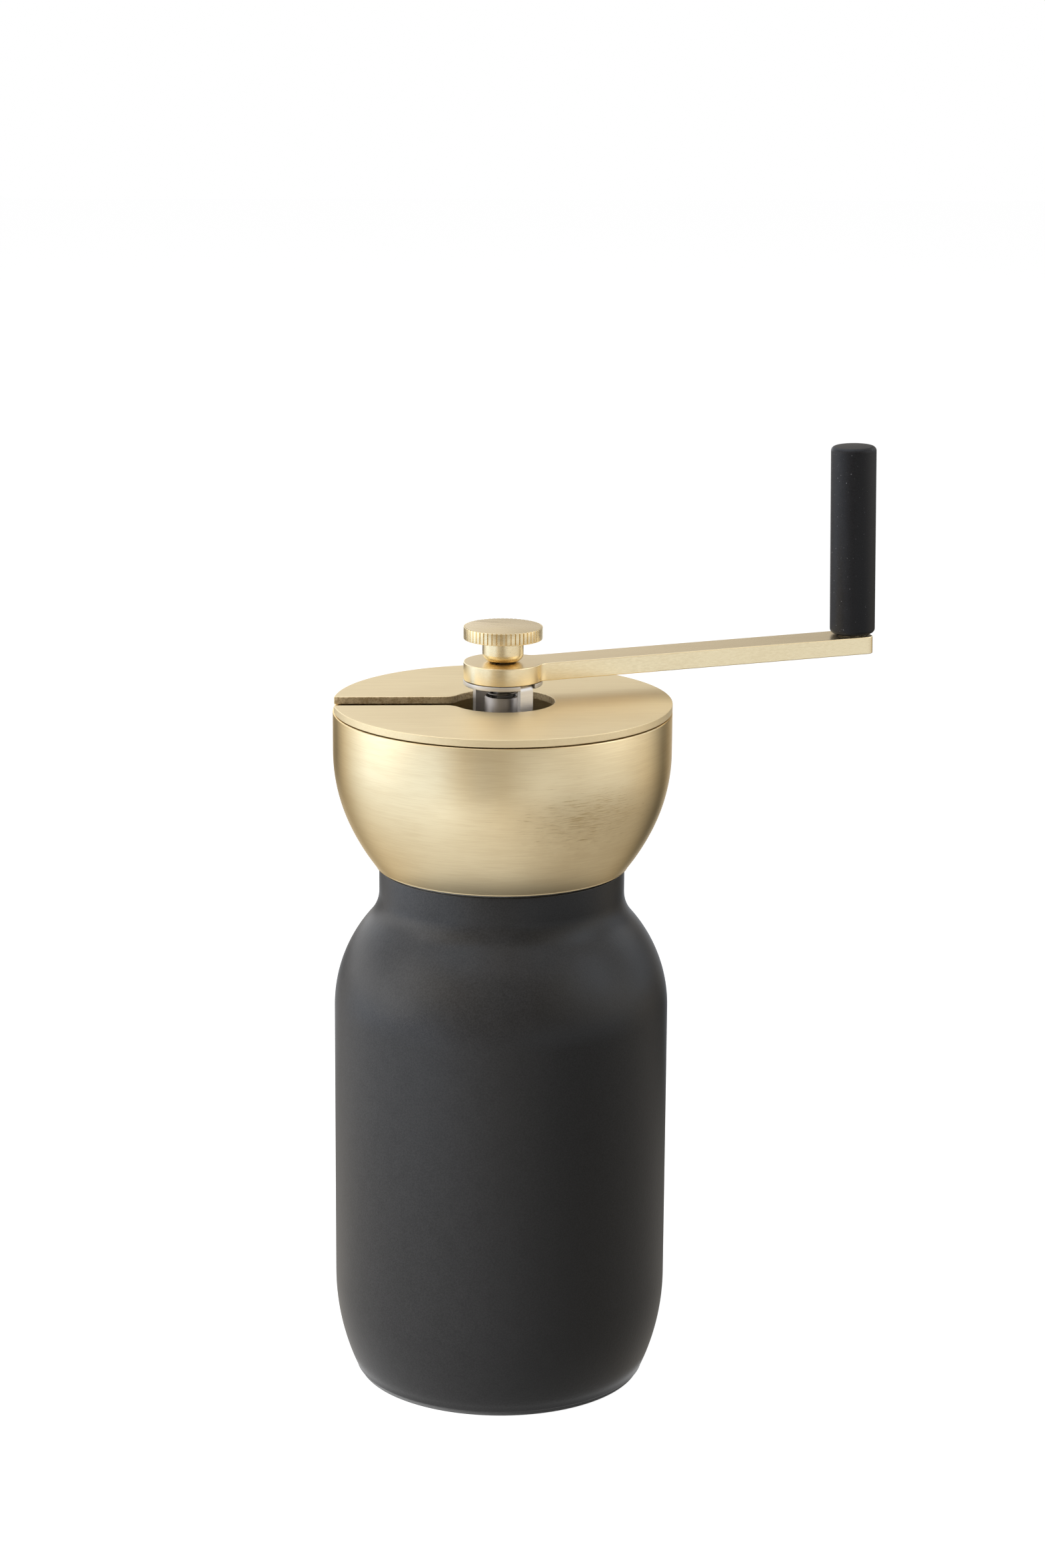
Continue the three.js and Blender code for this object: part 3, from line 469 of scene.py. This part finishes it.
springSteel = steelFinish("springSteel", (0.30, 0.29, 0.28), (0.16, 0.155, 0.15), 0.3, (900, 900, 900),
                          anisotropy=0)
burrSteel = steelFinish("burrSteel", (0.42, 0.41, 0.40), (0.26, 0.25, 0.24), 0.42, (800, 800, 800),
                        anisotropy=0)
rubber = plainFinish("greyRubber", (0.16, 0.16, 0.16), (0.11, 0.11, 0.11), 2600, 0.7)
bearing = plainFinish("bearingPlastic", (0.74, 0.72, 0.66), (0.64, 0.62, 0.56), 900, 0.5)
print("finishes made")


# Jar

jar = {
    "radius": 0.040, "wall": 0.0012, "heelRadius": 0.056, "heelHeight": 0.0245, "shoulderRadius": 0.0334,
    "neckRadius": 0.02925, "neckFillet": 0.010, "neckHeight": 0.00595, "footEdge": 0.0004, "lipEdge": 0.0003,
    "footCorner": 0.9, "heelSteps": 18, "shoulderSteps": 26, "hollowSteps": 8, "steps": 192,
}


def jarCurve(inset, foot, top):
    heel = jar["heelRadius"] - inset
    shoulder = jar["shoulderRadius"] - inset
    hollow = jar["neckFillet"] + inset
    shoulderR = jar["radius"] - jar["shoulderRadius"]
    hollowR = jar["neckRadius"] + jar["neckFillet"]
    hollowZ = top - jar["neckHeight"]
    rise = math.sqrt((shoulder + hollow) ** 2 - (hollowR - shoulderR) ** 2)
    meet = math.atan2(rise, hollowR - shoulderR)
    start = math.asin((foot - jar["heelHeight"]) / heel)
    return (arcRings(heel, jar["radius"] - jar["heelRadius"], jar["heelHeight"], start, 0, jar["heelSteps"])
            + arcRings(shoulder, shoulderR, hollowZ - rise, 0, meet, jar["shoulderSteps"])
            + arcRings(hollow, hollowR, hollowZ, math.pi + meet, math.pi, jar["hollowSteps"])[1:])


def makeJar():
    low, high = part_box("jar_shell")
    edge, lip = jar["footEdge"], jar["lipEdge"]
    outer = jarCurve(0, low.z + edge, high.z)
    floor = low.z + jar["wall"]
    inner = jarCurve(jar["wall"], floor, high.z)
    bore = jar["neckRadius"] - jar["wall"]
    rings = cornerRings((0, low.z), (outer[0][0], low.z), outer[0], edge * jar["footCorner"]) + outer
    rings += cornerRings(outer[-1], (jar["neckRadius"], high.z), (bore, high.z), lip)
    rings += cornerRings((jar["neckRadius"], high.z), (bore, high.z), (bore, floor), lip)
    rings += inner[::-1]
    return turnRings("jarBody", rings, jar["steps"])


jarBody = makeJar()
dress(jarBody, jarCoat)
stand(jarBody, "jar", "black_coat", "jar_shell")

foot = {"edge": 0.0004, "recess": 0.0004, "recessRadius": 0.026, "steps": 128}


def makeFoot():
    low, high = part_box("foot_pad")
    radius, edge = high.x, foot["edge"]
    rings = [(foot["recessRadius"], foot["recess"]), (foot["recessRadius"] + foot["recess"], low.z)]
    rings += cornerRings((0, low.z), (radius, low.z), (radius, high.z), edge)
    rings += [(radius, high.z)]
    return turnRings("footPad", rings, foot["steps"])


footPad = makeFoot()
dress(footPad, rubber)
stand(footPad, "jar", "rubber", "foot_pad")
print("jar made")


# Bowl

bowl = {
    "radius": 0.0401, "wall": 0.0011, "overNeck": 0.0007, "bellyHeight": 0.02765, "bellyRadius": 0.0412,
    "bellyDrop": 0.01725, "rimEdge": 0.00035, "footEdge": 0.0003, "footCorner": 0.9, "boreCorner": 0.6,
    "flangeReach": 0.0052, "holeGap": 0.0003, "curveSteps": 16, "steps": 192,
}


def bowlCurve(inset, floor, bottom, top):
    bellyZ = bottom + bowl["bellyHeight"]
    bellyR = bowl["radius"] - bowl["bellyRadius"]
    turn = math.asin(bowl["bellyDrop"] / bowl["bellyRadius"])
    acrossR = jar["neckRadius"] + bowl["overNeck"] - bellyR - bowl["bellyRadius"] * math.cos(turn)
    acrossZ = bowl["bellyDrop"] - bowl["bellyHeight"]
    basinRadius = (acrossR ** 2 + acrossZ ** 2) / 2 / (acrossZ * math.sin(turn) - acrossR * math.cos(turn))
    basinR = bellyR - (basinRadius - bowl["bellyRadius"]) * math.cos(turn)
    basinZ = bellyZ + (basinRadius - bowl["bellyRadius"]) * math.sin(turn)
    basin = basinRadius - inset
    start = -math.asin((basinZ - floor) / basin)
    return (arcRings(basin, basinR, basinZ, start, -turn, bowl["curveSteps"])
            + arcRings(bowl["bellyRadius"] - inset, bellyR, bellyZ, -turn, 0, bowl["curveSteps"])[1:]
            + [(bowl["radius"] - inset, top)])


def makeBowl():
    low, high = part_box("bowl")
    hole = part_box("burr_housing")[1].x - bowl["flangeReach"] + bowl["holeGap"]
    edge, footEdge = bowl["rimEdge"], bowl["footEdge"]
    floor = low.z + bowl["wall"]
    outer = bowlCurve(0, low.z + footEdge, low.z, high.z - edge)
    inner = bowlCurve(bowl["wall"], floor, low.z, high.z - edge)
    rim, bore = bowl["radius"], bowl["radius"] - bowl["wall"]
    rings = [(hole, low.z)]
    rings += cornerRings((hole, low.z), (outer[0][0], low.z), outer[0], footEdge * bowl["footCorner"])
    rings += outer[:-1]
    rings += cornerRings((rim, low.z), (rim, high.z), (bore, high.z), edge)
    rings += cornerRings((rim, high.z), (bore, high.z), (bore, low.z), edge * bowl["boreCorner"])
    rings += inner[:-1][::-1] + [(hole, floor), (hole, low.z)]
    return turnRings("beanBowl", rings, bowl["steps"], solid=False)


beanBowl = makeBowl()
dress(beanBowl, bowlBrass)
stand(beanBowl, "head", "brass", "bowl")
print("bowl made")


# Lid

lid = {"holeRadius": 0.0123, "slotHalf": 0.00445, "slotCorner": 0.0035, "edge": 0.00016, "rimSteps": 220,
       "cornerSteps": 10, "holeSteps": 96, "steepest": 0.9, "rimBand": 0.001}


def makeLid():
    low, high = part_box("lid")
    radius, half, corner, hole = high.y, lid["slotHalf"], lid["slotCorner"], lid["holeRadius"]
    rimTurn = math.asin(half / radius)
    cornerY = half + corner
    cornerX = math.sqrt((hole + corner) ** 2 - cornerY ** 2)
    holeTurn = math.atan2(cornerY, cornerX)
    cornerSweep = 90 - math.degrees(holeTurn)
    startX = -radius * math.cos(rimTurn)
    piece = sweepOutline("slottedLid", (startX, -half), low.z, high.z, [
        ("round", (0, 0), 360 - 2 * math.degrees(rimTurn), lid["rimSteps"]),
        ("to", (-cornerX, half)),
        ("round", (-cornerX, cornerY), cornerSweep, lid["cornerSteps"]),
        ("round", (0, 0), 2 * math.degrees(holeTurn) - 360, lid["holeSteps"]),
        ("round", (-cornerX, -cornerY), cornerSweep, lid["cornerSteps"]),
        ("to", (startX, -half)),
    ])
    softenEdges(piece, lid["edge"])
    dress(piece, lidBrass)
    piece.data.materials.append(lidCut.material)
    for face in piece.data.polygons:      # the slot's and hole's walls are sawn, the rim is not
        if abs(face.normal.z) < lid["steepest"] and face.center.xy.length < radius - lid["rimBand"]:
            face.material_index = 1
    return piece


slottedLid = makeLid()
stand(slottedLid, "lid", "brass", "lid")
print("lid made")


# Crank

crank = {
    "eyeRadius": 0.00932, "eyeFillet": 0.003, "halfWidth": 0.00483, "corner": 0.00175, "end": 0.092285,
    "rise": math.radians(1.2), "lead": 0.0005, "edge": 0.0002, "underKnob": 0.0001, "holeSide": 0.0044,
    "holeDepth": 0.01, "pinCut": (-0.006, 0.001), "cornerSteps": 12, "eyeSteps": 96,
}
grip = {"at": 0.08835, "radius": 0.00545, "bore": 0.0039, "length": 0.0455, "lift": 0.00035, "edge": 0.0011,
        "topWall": 0.005, "boreEdge": 0.0002, "pinHole": 0.0023, "headHole": 0.0037, "headDepth": 0.0026,
        "boreSteps": 2, "edgeSteps": 8, "steps": 96}


def crankTop():
    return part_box("thumbscrew")[0].z - crank["underKnob"]


def crankPlaces():
    filletY = crank["halfWidth"] + crank["eyeFillet"]
    filletX = math.sqrt((crank["eyeRadius"] + crank["eyeFillet"]) ** 2 - filletY ** 2)
    return filletX, filletY, filletX + crank["lead"]


def gripFrame():
    # the grip stands square on the bar's top face, which rises slightly
    top = crankTop()
    riseStart = crankPlaces()[2]
    height = top + (grip["at"] - riseStart) * math.tan(crank["rise"])
    return (Matrix.Rotation(crankTurn, 4, "Z") @ Matrix.Translation((grip["at"], 0, height))
            @ Matrix.Rotation(-crank["rise"], 4, "Y"))


def makeCrank():
    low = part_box("crank_arm")[0].z
    top = crankTop()
    filletX, filletY, riseStart = crankPlaces()
    turn = math.degrees(math.atan2(filletY, filletX))
    cornerX, cornerY = crank["end"] - crank["corner"], crank["halfWidth"] - crank["corner"]
    half, steps = crank["halfWidth"], crank["cornerSteps"]
    piece = sweepOutline("crankBar", (filletX, -half), low, top, [
        ("to", (cornerX, -half)),
        ("round", (cornerX, -cornerY), 90, steps),
        ("to", (crank["end"], cornerY)),
        ("round", (cornerX, cornerY), 90, steps),
        ("to", (filletX, half)),
        ("round", (filletX, filletY), turn - 90, steps),
        ("round", (0, 0), 360 - 2 * turn, crank["eyeSteps"]),
        ("round", (filletX, -filletY), turn - 90, steps),
    ])
    takeUp(piece)
    editAll()
    bpy.ops.mesh.bisect(plane_co=(riseStart, 0, 0), plane_no=(1, 0, 0))
    pick(piece, lambda co: co.x > riseStart + tolerance)
    bpy.ops.transform.rotate(value=crank["rise"], orient_axis="Y", center_override=(riseStart, 0, top))
    tidy(piece)
    softenEdges(piece, crank["edge"])
    turned = Matrix.Rotation(-crankTurn, 4, "Z") @ gripFrame()
    below, above = crank["pinCut"]
    for radius, high in ((grip["pinHole"], above), (grip["headHole"], -grip["headDepth"])):
        tool = roundBar(radius, below, high)
        tool.matrix_world = turned
        carve(piece, tool)
    carve(piece, squareBar((crank["holeSide"], crank["holeSide"], crank["holeDepth"]), (0, 0, top)))
    takeUp(piece)
    piece.rotation_euler.z = crankTurn
    bpy.ops.object.transform_apply(location=False, rotation=True, scale=False)
    return smooth(piece)


crankBar = makeCrank()
dress(crankBar, barBrass)
stand(crankBar, "crank", "brass", "crank_arm")


def makeGrip():
    bottom, top = grip["lift"], grip["lift"] + grip["length"]
    radius, bore, edge = grip["radius"], grip["bore"], grip["edge"]
    rings = [(bore, top - grip["topWall"])]
    rings += cornerRings((bore, top), (bore, bottom), (radius, bottom), grip["boreEdge"], grip["boreSteps"])
    rings += arcRings(edge, radius - edge, bottom + edge, -math.pi / 2, 0, grip["edgeSteps"])
    rings += arcRings(edge, radius - edge, top - edge, 0, math.pi / 2, grip["edgeSteps"])
    piece = turnRings("fingerGrip", rings, grip["steps"])
    takeUp(piece)
    piece.matrix_world = gripFrame()
    bpy.ops.object.transform_apply(location=True, rotation=True, scale=True)
    return piece


fingerGrip = makeGrip()
dress(fingerGrip, gripCoat)
stand(fingerGrip, "grip", "black_grip", "grip_sleeve")
print("crank and grip made")


# Thumbscrew

knob = {"shankRadius": 0.00488, "shankEdge": 0.002, "headHeight": 0.0029, "edge": 0.00016, "flutes": 54,
        "fluteSteps": 8, "sunkSteps": (6, 7), "fluteDepth": 0.00035, "bore": 0.0022, "boreTop": 0.0049,
        "shankSteps": 10, "smoothAngle": 32}


def makeKnob():
    low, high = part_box("thumbscrew")
    radius, shank, edge = high.x, knob["shankRadius"], knob["edge"]
    headLow = high.z - knob["headHeight"]
    rings = [(knob["bore"], low.z + knob["boreTop"]), (knob["bore"], low.z)]
    rings += arcRings(knob["shankEdge"], shank - knob["shankEdge"], low.z + knob["shankEdge"], -math.pi / 2, 0,
                      knob["shankSteps"])
    rings += [(shank, headLow)]
    rings += cornerRings((shank, headLow), (radius, headLow), (radius, high.z), edge)
    rings += cornerRings((radius, headLow), (radius, high.z), (0, high.z), edge)
    steps = knob["flutes"] * knob["fluteSteps"]
    piece = turnRings("thumbKnob", rings, steps)
    takeUp(piece)
    editAll()
    stepTurn = 2 * math.pi / steps

    def inFlute(co):
        place = round(math.atan2(co.y, co.x) / stepTurn) % knob["fluteSteps"]
        return co.xy.length > radius - 2 * edge and place in knob["sunkSteps"]

    pick(piece, inFlute)
    ratio = 1 - knob["fluteDepth"] / radius
    bpy.ops.transform.resize(value=(ratio, ratio, 1), center_override=(0, 0, high.z))
    return smooth(piece, knob["smoothAngle"])


thumbKnob = makeKnob()
dress(thumbKnob, knobBrass)
stand(thumbKnob, "knob", "brass", "thumbscrew")
print("thumbscrew made")


# Lock plate, its spring and the adjuster nut

plate = {"thickness": 0.00105, "edge": 0.00012, "legInset": 0.000625, "legWidth": 0.0038, "bend": 0.0015,
         "bendSteps": 10, "legAngle": math.radians(-67.05), "relief": 0.0003, "slotReach": 0.004,
         "slotHeight": 0.004, "overKnob": 0.00003, "holeSide": 0.0044, "holeDepth": 0.01, "steps": 144}


def makeLeg(angle, legR, bottom, top):
    # a strip that leaves the plate level, bends down and drops into a notch
    thick, bendR, bendZ = plate["thickness"], legR - plate["bend"], top - plate["bend"]
    start = legR / 2
    clearSelection()
    bpy.ops.mesh.primitive_plane_add(size=1, location=(start, 0, top - thick / 2),
                                     rotation=(0, math.pi / 2, 0))
    bpy.context.active_object.scale = (thick, plate["legWidth"], 1)
    leg = named("leg")
    editAll()
    bpy.ops.mesh.delete(type="ONLY_FACE")
    bpy.ops.mesh.select_all(action="SELECT")
    bpy.ops.mesh.extrude_region_move(TRANSFORM_OT_translate={"value": (bendR - start, 0, 0)})
    spinBy(90, (bendR, 0, bendZ), (0, 1, 0), plate["bendSteps"])
    bpy.ops.mesh.extrude_region_move(TRANSFORM_OT_translate={"value": (0, 0, bottom - bendZ)})
    for ending in (lambda co: co.x < start + tolerance, lambda co: co.z < bottom + tolerance):
        pick(leg, ending)
        bpy.ops.mesh.edge_face_add()
    tidy(leg)
    takeUp(leg)
    leg.rotation_euler.z = angle
    bpy.ops.object.transform_apply(location=False, rotation=True, scale=False)
    return leg


def makePlate():
    low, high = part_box("lock_plate")
    top = high.z
    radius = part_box("thumbscrew")[1].x + plate["overKnob"]
    bottom = top - plate["thickness"]
    legR = radius - plate["legInset"]
    rings = cornerRings((0, bottom), (radius, bottom), (radius, top), plate["edge"])
    rings += cornerRings((radius, bottom), (radius, top), (0, top), plate["edge"])
    piece = turnRings("lockDisc", rings, plate["steps"])
    angle = crankTurn + plate["legAngle"]
    reach = plate["slotReach"]
    for side in (angle, angle + math.pi):
        direction = Vector((math.cos(side), math.sin(side), 0))
        centre = direction * (legR - plate["bend"] + reach / 2)
        width = plate["legWidth"] + 2 * plate["relief"]
        carve(piece, squareBar((reach, width, plate["slotHeight"]), (centre.x, centre.y, top), side))
    for side in (angle, angle + math.pi):
        carve(piece, makeLeg(side, legR, low.z, top), "UNION")
    carve(piece, squareBar((plate["holeSide"], plate["holeSide"], plate["holeDepth"]), (0, 0, top), crankTurn))
    return smooth(piece)


lockDisc = makePlate()
dress(lockDisc, plateSteel)
stand(lockDisc, "crank", "steel", "lock_plate")

coil = {"wire": 0.00055, "radius": 0.003325, "turns": 5, "sides": 14, "stepsPerTurn": 40, "smoothAngle": 60}


def makeCoil():
    low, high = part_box("lock_spring")
    steps = coil["turns"] * coil["stepsPerTurn"]
    clearSelection()
    bpy.ops.mesh.primitive_circle_add(vertices=coil["sides"], radius=coil["wire"] / 2,
                                      location=(coil["radius"], 0, low.z + coil["wire"] / 2),
                                      rotation=(math.pi / 2, 0, 0))
    piece = named("lockCoil")
    applied(piece, "SCREW", angle=coil["turns"] * 2 * math.pi, screw_offset=high.z - low.z - coil["wire"],
            iterations=1, steps=steps, render_steps=steps, use_smooth_shade=True)
    editAll()
    bpy.ops.mesh.select_all(action="DESELECT")
    bpy.ops.mesh.select_non_manifold(extend=False, use_wire=False, use_boundary=True, use_multi_face=False,
                                     use_non_contiguous=False, use_verts=False)
    bpy.ops.mesh.edge_face_add()
    return tidy(piece, coil["smoothAngle"])


lockCoil = makeCoil()
dress(lockCoil, springSteel)
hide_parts("lock_spring")
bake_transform(lockCoil)

nut = {"radius": 0.00428, "cup": 0.0039, "cupDepth": 0.0046, "bore": 0.00305, "chamfer": 0.0004,
       "wheelRadius": 0.0102, "wheelHeight": 0.004, "wheelEdge": 0.0003, "notches": 6, "notchWidth": 0.0044,
       "notchInner": 0.007375, "notchLength": 0.006, "notchHeight": 0.008, "notchMiddle": 0.002, "steps": 120}


def makeNut():
    low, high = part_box("adjuster_nut")
    wheel, edge, step = nut["wheelRadius"], nut["wheelEdge"], low.z + nut["wheelHeight"]
    cup, cupFloor = nut["cup"], high.z - nut["cupDepth"]
    rings = [(nut["bore"], low.z)]
    rings += cornerRings((0, low.z), (wheel, low.z), (wheel, step), edge)
    rings += cornerRings((wheel, low.z), (wheel, step), (0, step), edge)
    rings += [(nut["radius"], step), (nut["radius"], high.z - nut["chamfer"])]
    rings += [((nut["radius"] + cup) / 2, high.z), (cup, high.z), (cup, cupFloor)]
    rings += [(nut["bore"], cupFloor), (nut["bore"], low.z)]
    piece = turnRings("adjusterCup", rings, nut["steps"], solid=False)
    notch = (nut["notchLength"], nut["notchWidth"], nut["notchHeight"])
    for i in range(nut["notches"]):
        side = crankTurn + plate["legAngle"] + 2 * math.pi * i / nut["notches"]
        centre = Vector((math.cos(side), math.sin(side))) * (nut["notchInner"] + nut["notchLength"] / 2)
        carve(piece, squareBar(notch, (centre.x, centre.y, low.z + nut["notchMiddle"]), side))
    return smooth(piece)


adjusterCup = makeNut()
dress(adjusterCup, nutSteel)
stand(adjusterCup, "spindle", "steel", "adjuster_nut")
print("lock plate, spring and adjuster made")


# CAD pieces that keep their own mesh

kept = {
    "neck_insert": steel, "neck_seal": rubber, "threaded_collar": steel, "flange_gasket": rubber,
    "burr_housing": steel, "burr_retainer": steel, "ring_burr": burrSteel, "lower_spider": steel,
    "lower_bush": bearing, "bearing_bridge": steel, "upper_bush": bearing, "bridge_screw_1": steel,
    "bridge_screw_2": steel, "bridge_screw_3": steel, "main_shaft": steel, "inner_burr": burrSteel,
    "burr_washer": steel, "burr_nut": steel, "burr_spring": springSteel, "thrust_washer": steel,
    "grip_pin": steel, "grip_clip": springSteel, "grip_lower_bush": bearing, "grip_upper_bush": bearing,
}
for name, finish in kept.items():
    dress(nodes[name], finish)
print("kept pieces dressed:", len(kept))


# Camera

view = {"at": (-0.0338, -0.87355, 0.3669), "heading": 2.53, "down": 14.15, "roll": 0.397, "focalPixels": 5702,
        "imageHeight": 2353, "sensor": 36}


def makeCamera():
    data = bpy.data.cameras.new("photoCamera")
    camera = bpy.data.objects.new("photoCamera", data)
    bpy.context.scene.collection.objects.link(camera)
    data.sensor_width = view["sensor"]
    data.lens = view["sensor"] * view["focalPixels"] / view["imageHeight"]
    turned = (Matrix.Rotation(-math.radians(view["heading"]), 4, "Z")
              @ Matrix.Rotation(math.radians(90 - view["down"]), 4, "X")
              @ Matrix.Rotation(math.radians(view["roll"]), 4, "Z"))
    camera.matrix_world = Matrix.Translation(view["at"]) @ turned
    bpy.context.scene.camera = camera


makeCamera()


# Studio: a pale floor, soft lamps, and a tent of paler and darker panels that only reflections see

studio = {
    "diffuseLevel": 0.12, "floorSize": 6, "floorTone": 0.3, "floorShown": 0.95,
    "tentRadius": 1.3, "tentHeight": 2.4, "tentLift": 0.0003, "tentHole": 0.037, "tentSteps": 96,
    "brightest": 5, "greenPerWarmth": 0.12, "bluePerWarmth": 0.3,
    "cameraSide": math.radians(-92.2), "aimHeight": 0.11,
    # each lamp: name, azimuth from the camera's side and height in degrees, distance, size and level
    "lamps": [("leftSoftbox", -70, 18, 1.2, 0.8, 2.15), ("rightSoftbox", 95, 58, 1.2, 0.6, 0.5)],
    # each row of panels: what its place is measured by, and where it takes over from the row before
    "rows": [("near", "away", (0, 0.001)), ("mid", "away", (0.16, 0.3)), ("low", "away", (0.4, 0.6)),
             ("horizon", "height", (0.02, 0.14)), ("high", "height", (0.3, 0.55)),
             ("top", "height", (1.1, 1.5)), ("roof", "height", (2.2, 2.39))],
    # each panel: azimuth from the camera's side in degrees, positive towards +X, then its level and warmth
    "near": [(-180, 0.05, 0.5), (-120, 0.7, 0.5), (-60, 0.8, 0), (0, 0.8, 0), (60, 0.5, 0.5), (120, 0.4, 0.5),
             (180, 0.05, 0.5)],
    "mid": [(-180, 1.3, -0.5), (-145, 0.3, 0.5), (-110, 0.8, 0), (-75, 1, -0.5), (-40, 1.2, -0.5),
            (0, 0.9, 0.5), (40, 0.35, 0.5), (75, 0.4, 0.5), (110, 0.4, 0.5), (145, 0, 0.5), (180, 1.3, -0.5)],
    "low": [(-180, 0.8, -0.5), (-168, 0.5, 0.5), (-150, 0, 0.5), (-130, 0.6, 0.5), (-100, 1.2, -1.5),
            (-70, 0.9, -1.5), (-45, 1.1, -1.5), (-27, 0.7, 0.5), (-13, 0.4, -0.5), (0, 0.3, 0.5),
            (13, 0.8, -0.5), (27, 1.1, -0.5), (50, 0.9, -0.5), (80, 0.7, -0.5), (110, 0.7, 1),
            (135, 0.1, 1), (150, 0.35, 0.5), (168, 0.8, -0.5), (180, 0.8, -0.5)],
    "horizon": [(-180, 0.6, 0.5), (-168, 2.3, 0), (-145, 1, 0), (-115, 1.7, 0), (-85, 2.5, 0),
                (-55, 0.9, -0.5), (-25, 0.3, 1.5), (0, 0.5, 1), (25, 0.4, 1), (55, 0.8, 0.5),
                (85, 1.6, 0.5), (115, 0.9, -0.5), (145, 0.1, 0.5), (168, 0.8, 0.5), (180, 0.6, 0.5)],
    "high": [(-180, 0.8, 0.5), (-165, 0.6, -0.5), (-145, 1.5, -0.5), (-125, 0.9, -0.5), (-105, 0.7, -0.5),
             (-80, 1.8, 0), (-55, 1.2, 1), (-25, 0.5, 1.5), (0, 0.4, 0), (25, 0.3, 1.5), (55, 1.3, 0.5),
             (80, 2, -0.5), (105, 0.7, 0.5), (125, 1.3, -0.5), (145, 0.9, 0.5), (165, 0.1, 0.5),
             (180, 0.8, 0.5)],
    "top": [(-180, 0.8, -0.5), (-135, 1.7, -0.5), (-90, 1, -0.5), (-45, 1.3, -1), (0, 0.8, 1),
            (45, 0.9, -0.5), (90, 0.8, 0.5), (135, 0.7, 0.5), (180, 0.8, -0.5)],
    "roof": [(-180, 1.4, -0.5), (-90, 2.2, -0.5), (0, 0.8, 0.5), (90, 1.1, -0.5), (180, 1.4, -0.5)],
}


def makeWorld():
    world = bpy.data.worlds.new("studio")
    bpy.context.scene.world = world
    world.use_nodes = True
    sky = Nodes(world.node_tree, "Background")
    sky.feed(Color=sky.tint(sky.seen(), (studio["diffuseLevel"],) * 3, (1, 1, 1)), Strength=1)


def makeFloor():
    clearSelection()
    bpy.ops.mesh.primitive_plane_add(size=studio["floorSize"], location=(0, 0, 0))
    floor = named("paleFloor")
    finish = Finish("paleFloor", Roughness=0.8, Specular_IOR_Level=0)
    finish.feed(Base_Color=(studio["floorTone"],) * 3, Emission_Strength=studio["floorShown"],
                Emission_Color=finish.tint(finish.seen(), (0, 0, 0), (1, 1, 1)))
    dress(floor, finish)
    floor.visible_diffuse = False


def panelRamp(finish, around, panels):
    # colour stops round the tent; a warm panel has less green and blue, a cool one more
    stops = []
    for side, level, warmth in panels:
        red = level / studio["brightest"]
        green = red * (1 - studio["greenPerWarmth"] * warmth)
        blue = red * (1 - studio["bluePerWarmth"] * warmth)
        stops.append(((side + 180) / 360, (red, green, blue)))
    return finish.add("ShaderNodeValToRGB", {"stops": stops}, {0: around})


def makeTent():
    # a drum round the object, with a hole in its floor where the object stands
    radius, height, lift = studio["tentRadius"], studio["tentHeight"], studio["tentLift"]
    clearSelection()
    bpy.ops.mesh.primitive_circle_add(vertices=studio["tentSteps"], radius=radius, location=(0, 0, height),
                                      fill_type="NGON")
    tent = named("lightTent")
    editAll()
    bpy.ops.mesh.extrude_region_move(TRANSFORM_OT_translate={"value": (0, 0, lift - height)})
    bpy.ops.mesh.delete(type="ONLY_FACE")
    pick(tent, lambda co: co.z < height / 2)
    bpy.ops.mesh.extrude_region_move()
    ratio = studio["tentHole"] / radius
    bpy.ops.transform.resize(value=(ratio, ratio, 1), center_override=(0, 0, 0))
    pick(tent, lambda co: co.z > height / 2)
    bpy.ops.mesh.edge_face_add()
    bpy.ops.object.mode_set(mode="OBJECT")
    finish = Finish("lightTent", Roughness=1, Specular_IOR_Level=0)
    turned = finish.add("ShaderNodeMapping", {"vector_type": "POINT"},
                        {"Vector": finish.place, "Rotation": (0, 0, -studio["cameraSide"])})
    around = finish.add("ShaderNodeTexGradient", {"gradient_type": "RADIAL"}, {"Vector": turned}, output=1)
    flat = finish.add("ShaderNodeVectorMath", {"operation": "MULTIPLY"}, {0: finish.place, 1: (1, 1, 0)})
    away = finish.add("ShaderNodeVectorMath", {"operation": "LENGTH"}, {0: flat}, output="Value")
    places = {"away": away, "height": finish.add("ShaderNodeSeparateXYZ", {}, {0: finish.place}, output=2)}
    levels = (0, 0, 0)
    for row, place, step in studio["rows"]:
        panels = panelRamp(finish, around, studio[row])
        levels = finish.tint(finish.between(places[place], *step), levels, panels)
    finish.feed(Base_Color=(0, 0, 0), Emission_Color=levels, Emission_Strength=studio["brightest"])
    finish.material.cycles.emission_sampling = "NONE"
    dress(tent, finish)
    tent.visible_camera = tent.visible_diffuse = tent.visible_shadow = False
    tent.visible_transmission = tent.visible_volume_scatter = False


def makeLamp(name, side, height, away, size, level):
    # level is what a white surface facing the lamp would show
    side = studio["cameraSide"] + math.radians(side)
    data = bpy.data.lights.new(name, "AREA")
    data.shape = "SQUARE"
    data.size = size
    data.energy = level * (math.pi * away) ** 2
    lamp = bpy.data.objects.new(name, data)
    bpy.context.scene.collection.objects.link(lamp)
    target = Vector((0, 0, studio["aimHeight"]))
    turn = math.radians(height)
    aim = Vector((math.cos(side) * math.cos(turn), math.sin(side) * math.cos(turn), math.sin(turn)))
    lamp.rotation_euler = (-aim).to_track_quat("-Z", "Y").to_euler()
    lamp.location = target + aim * away
    lamp.visible_camera = lamp.visible_glossy = False


makeWorld()
makeFloor()
makeTent()
for lamp in studio["lamps"]:
    makeLamp(*lamp)
bpy.context.scene.view_settings.view_transform = "Standard"
print("camera, floor and lights made")
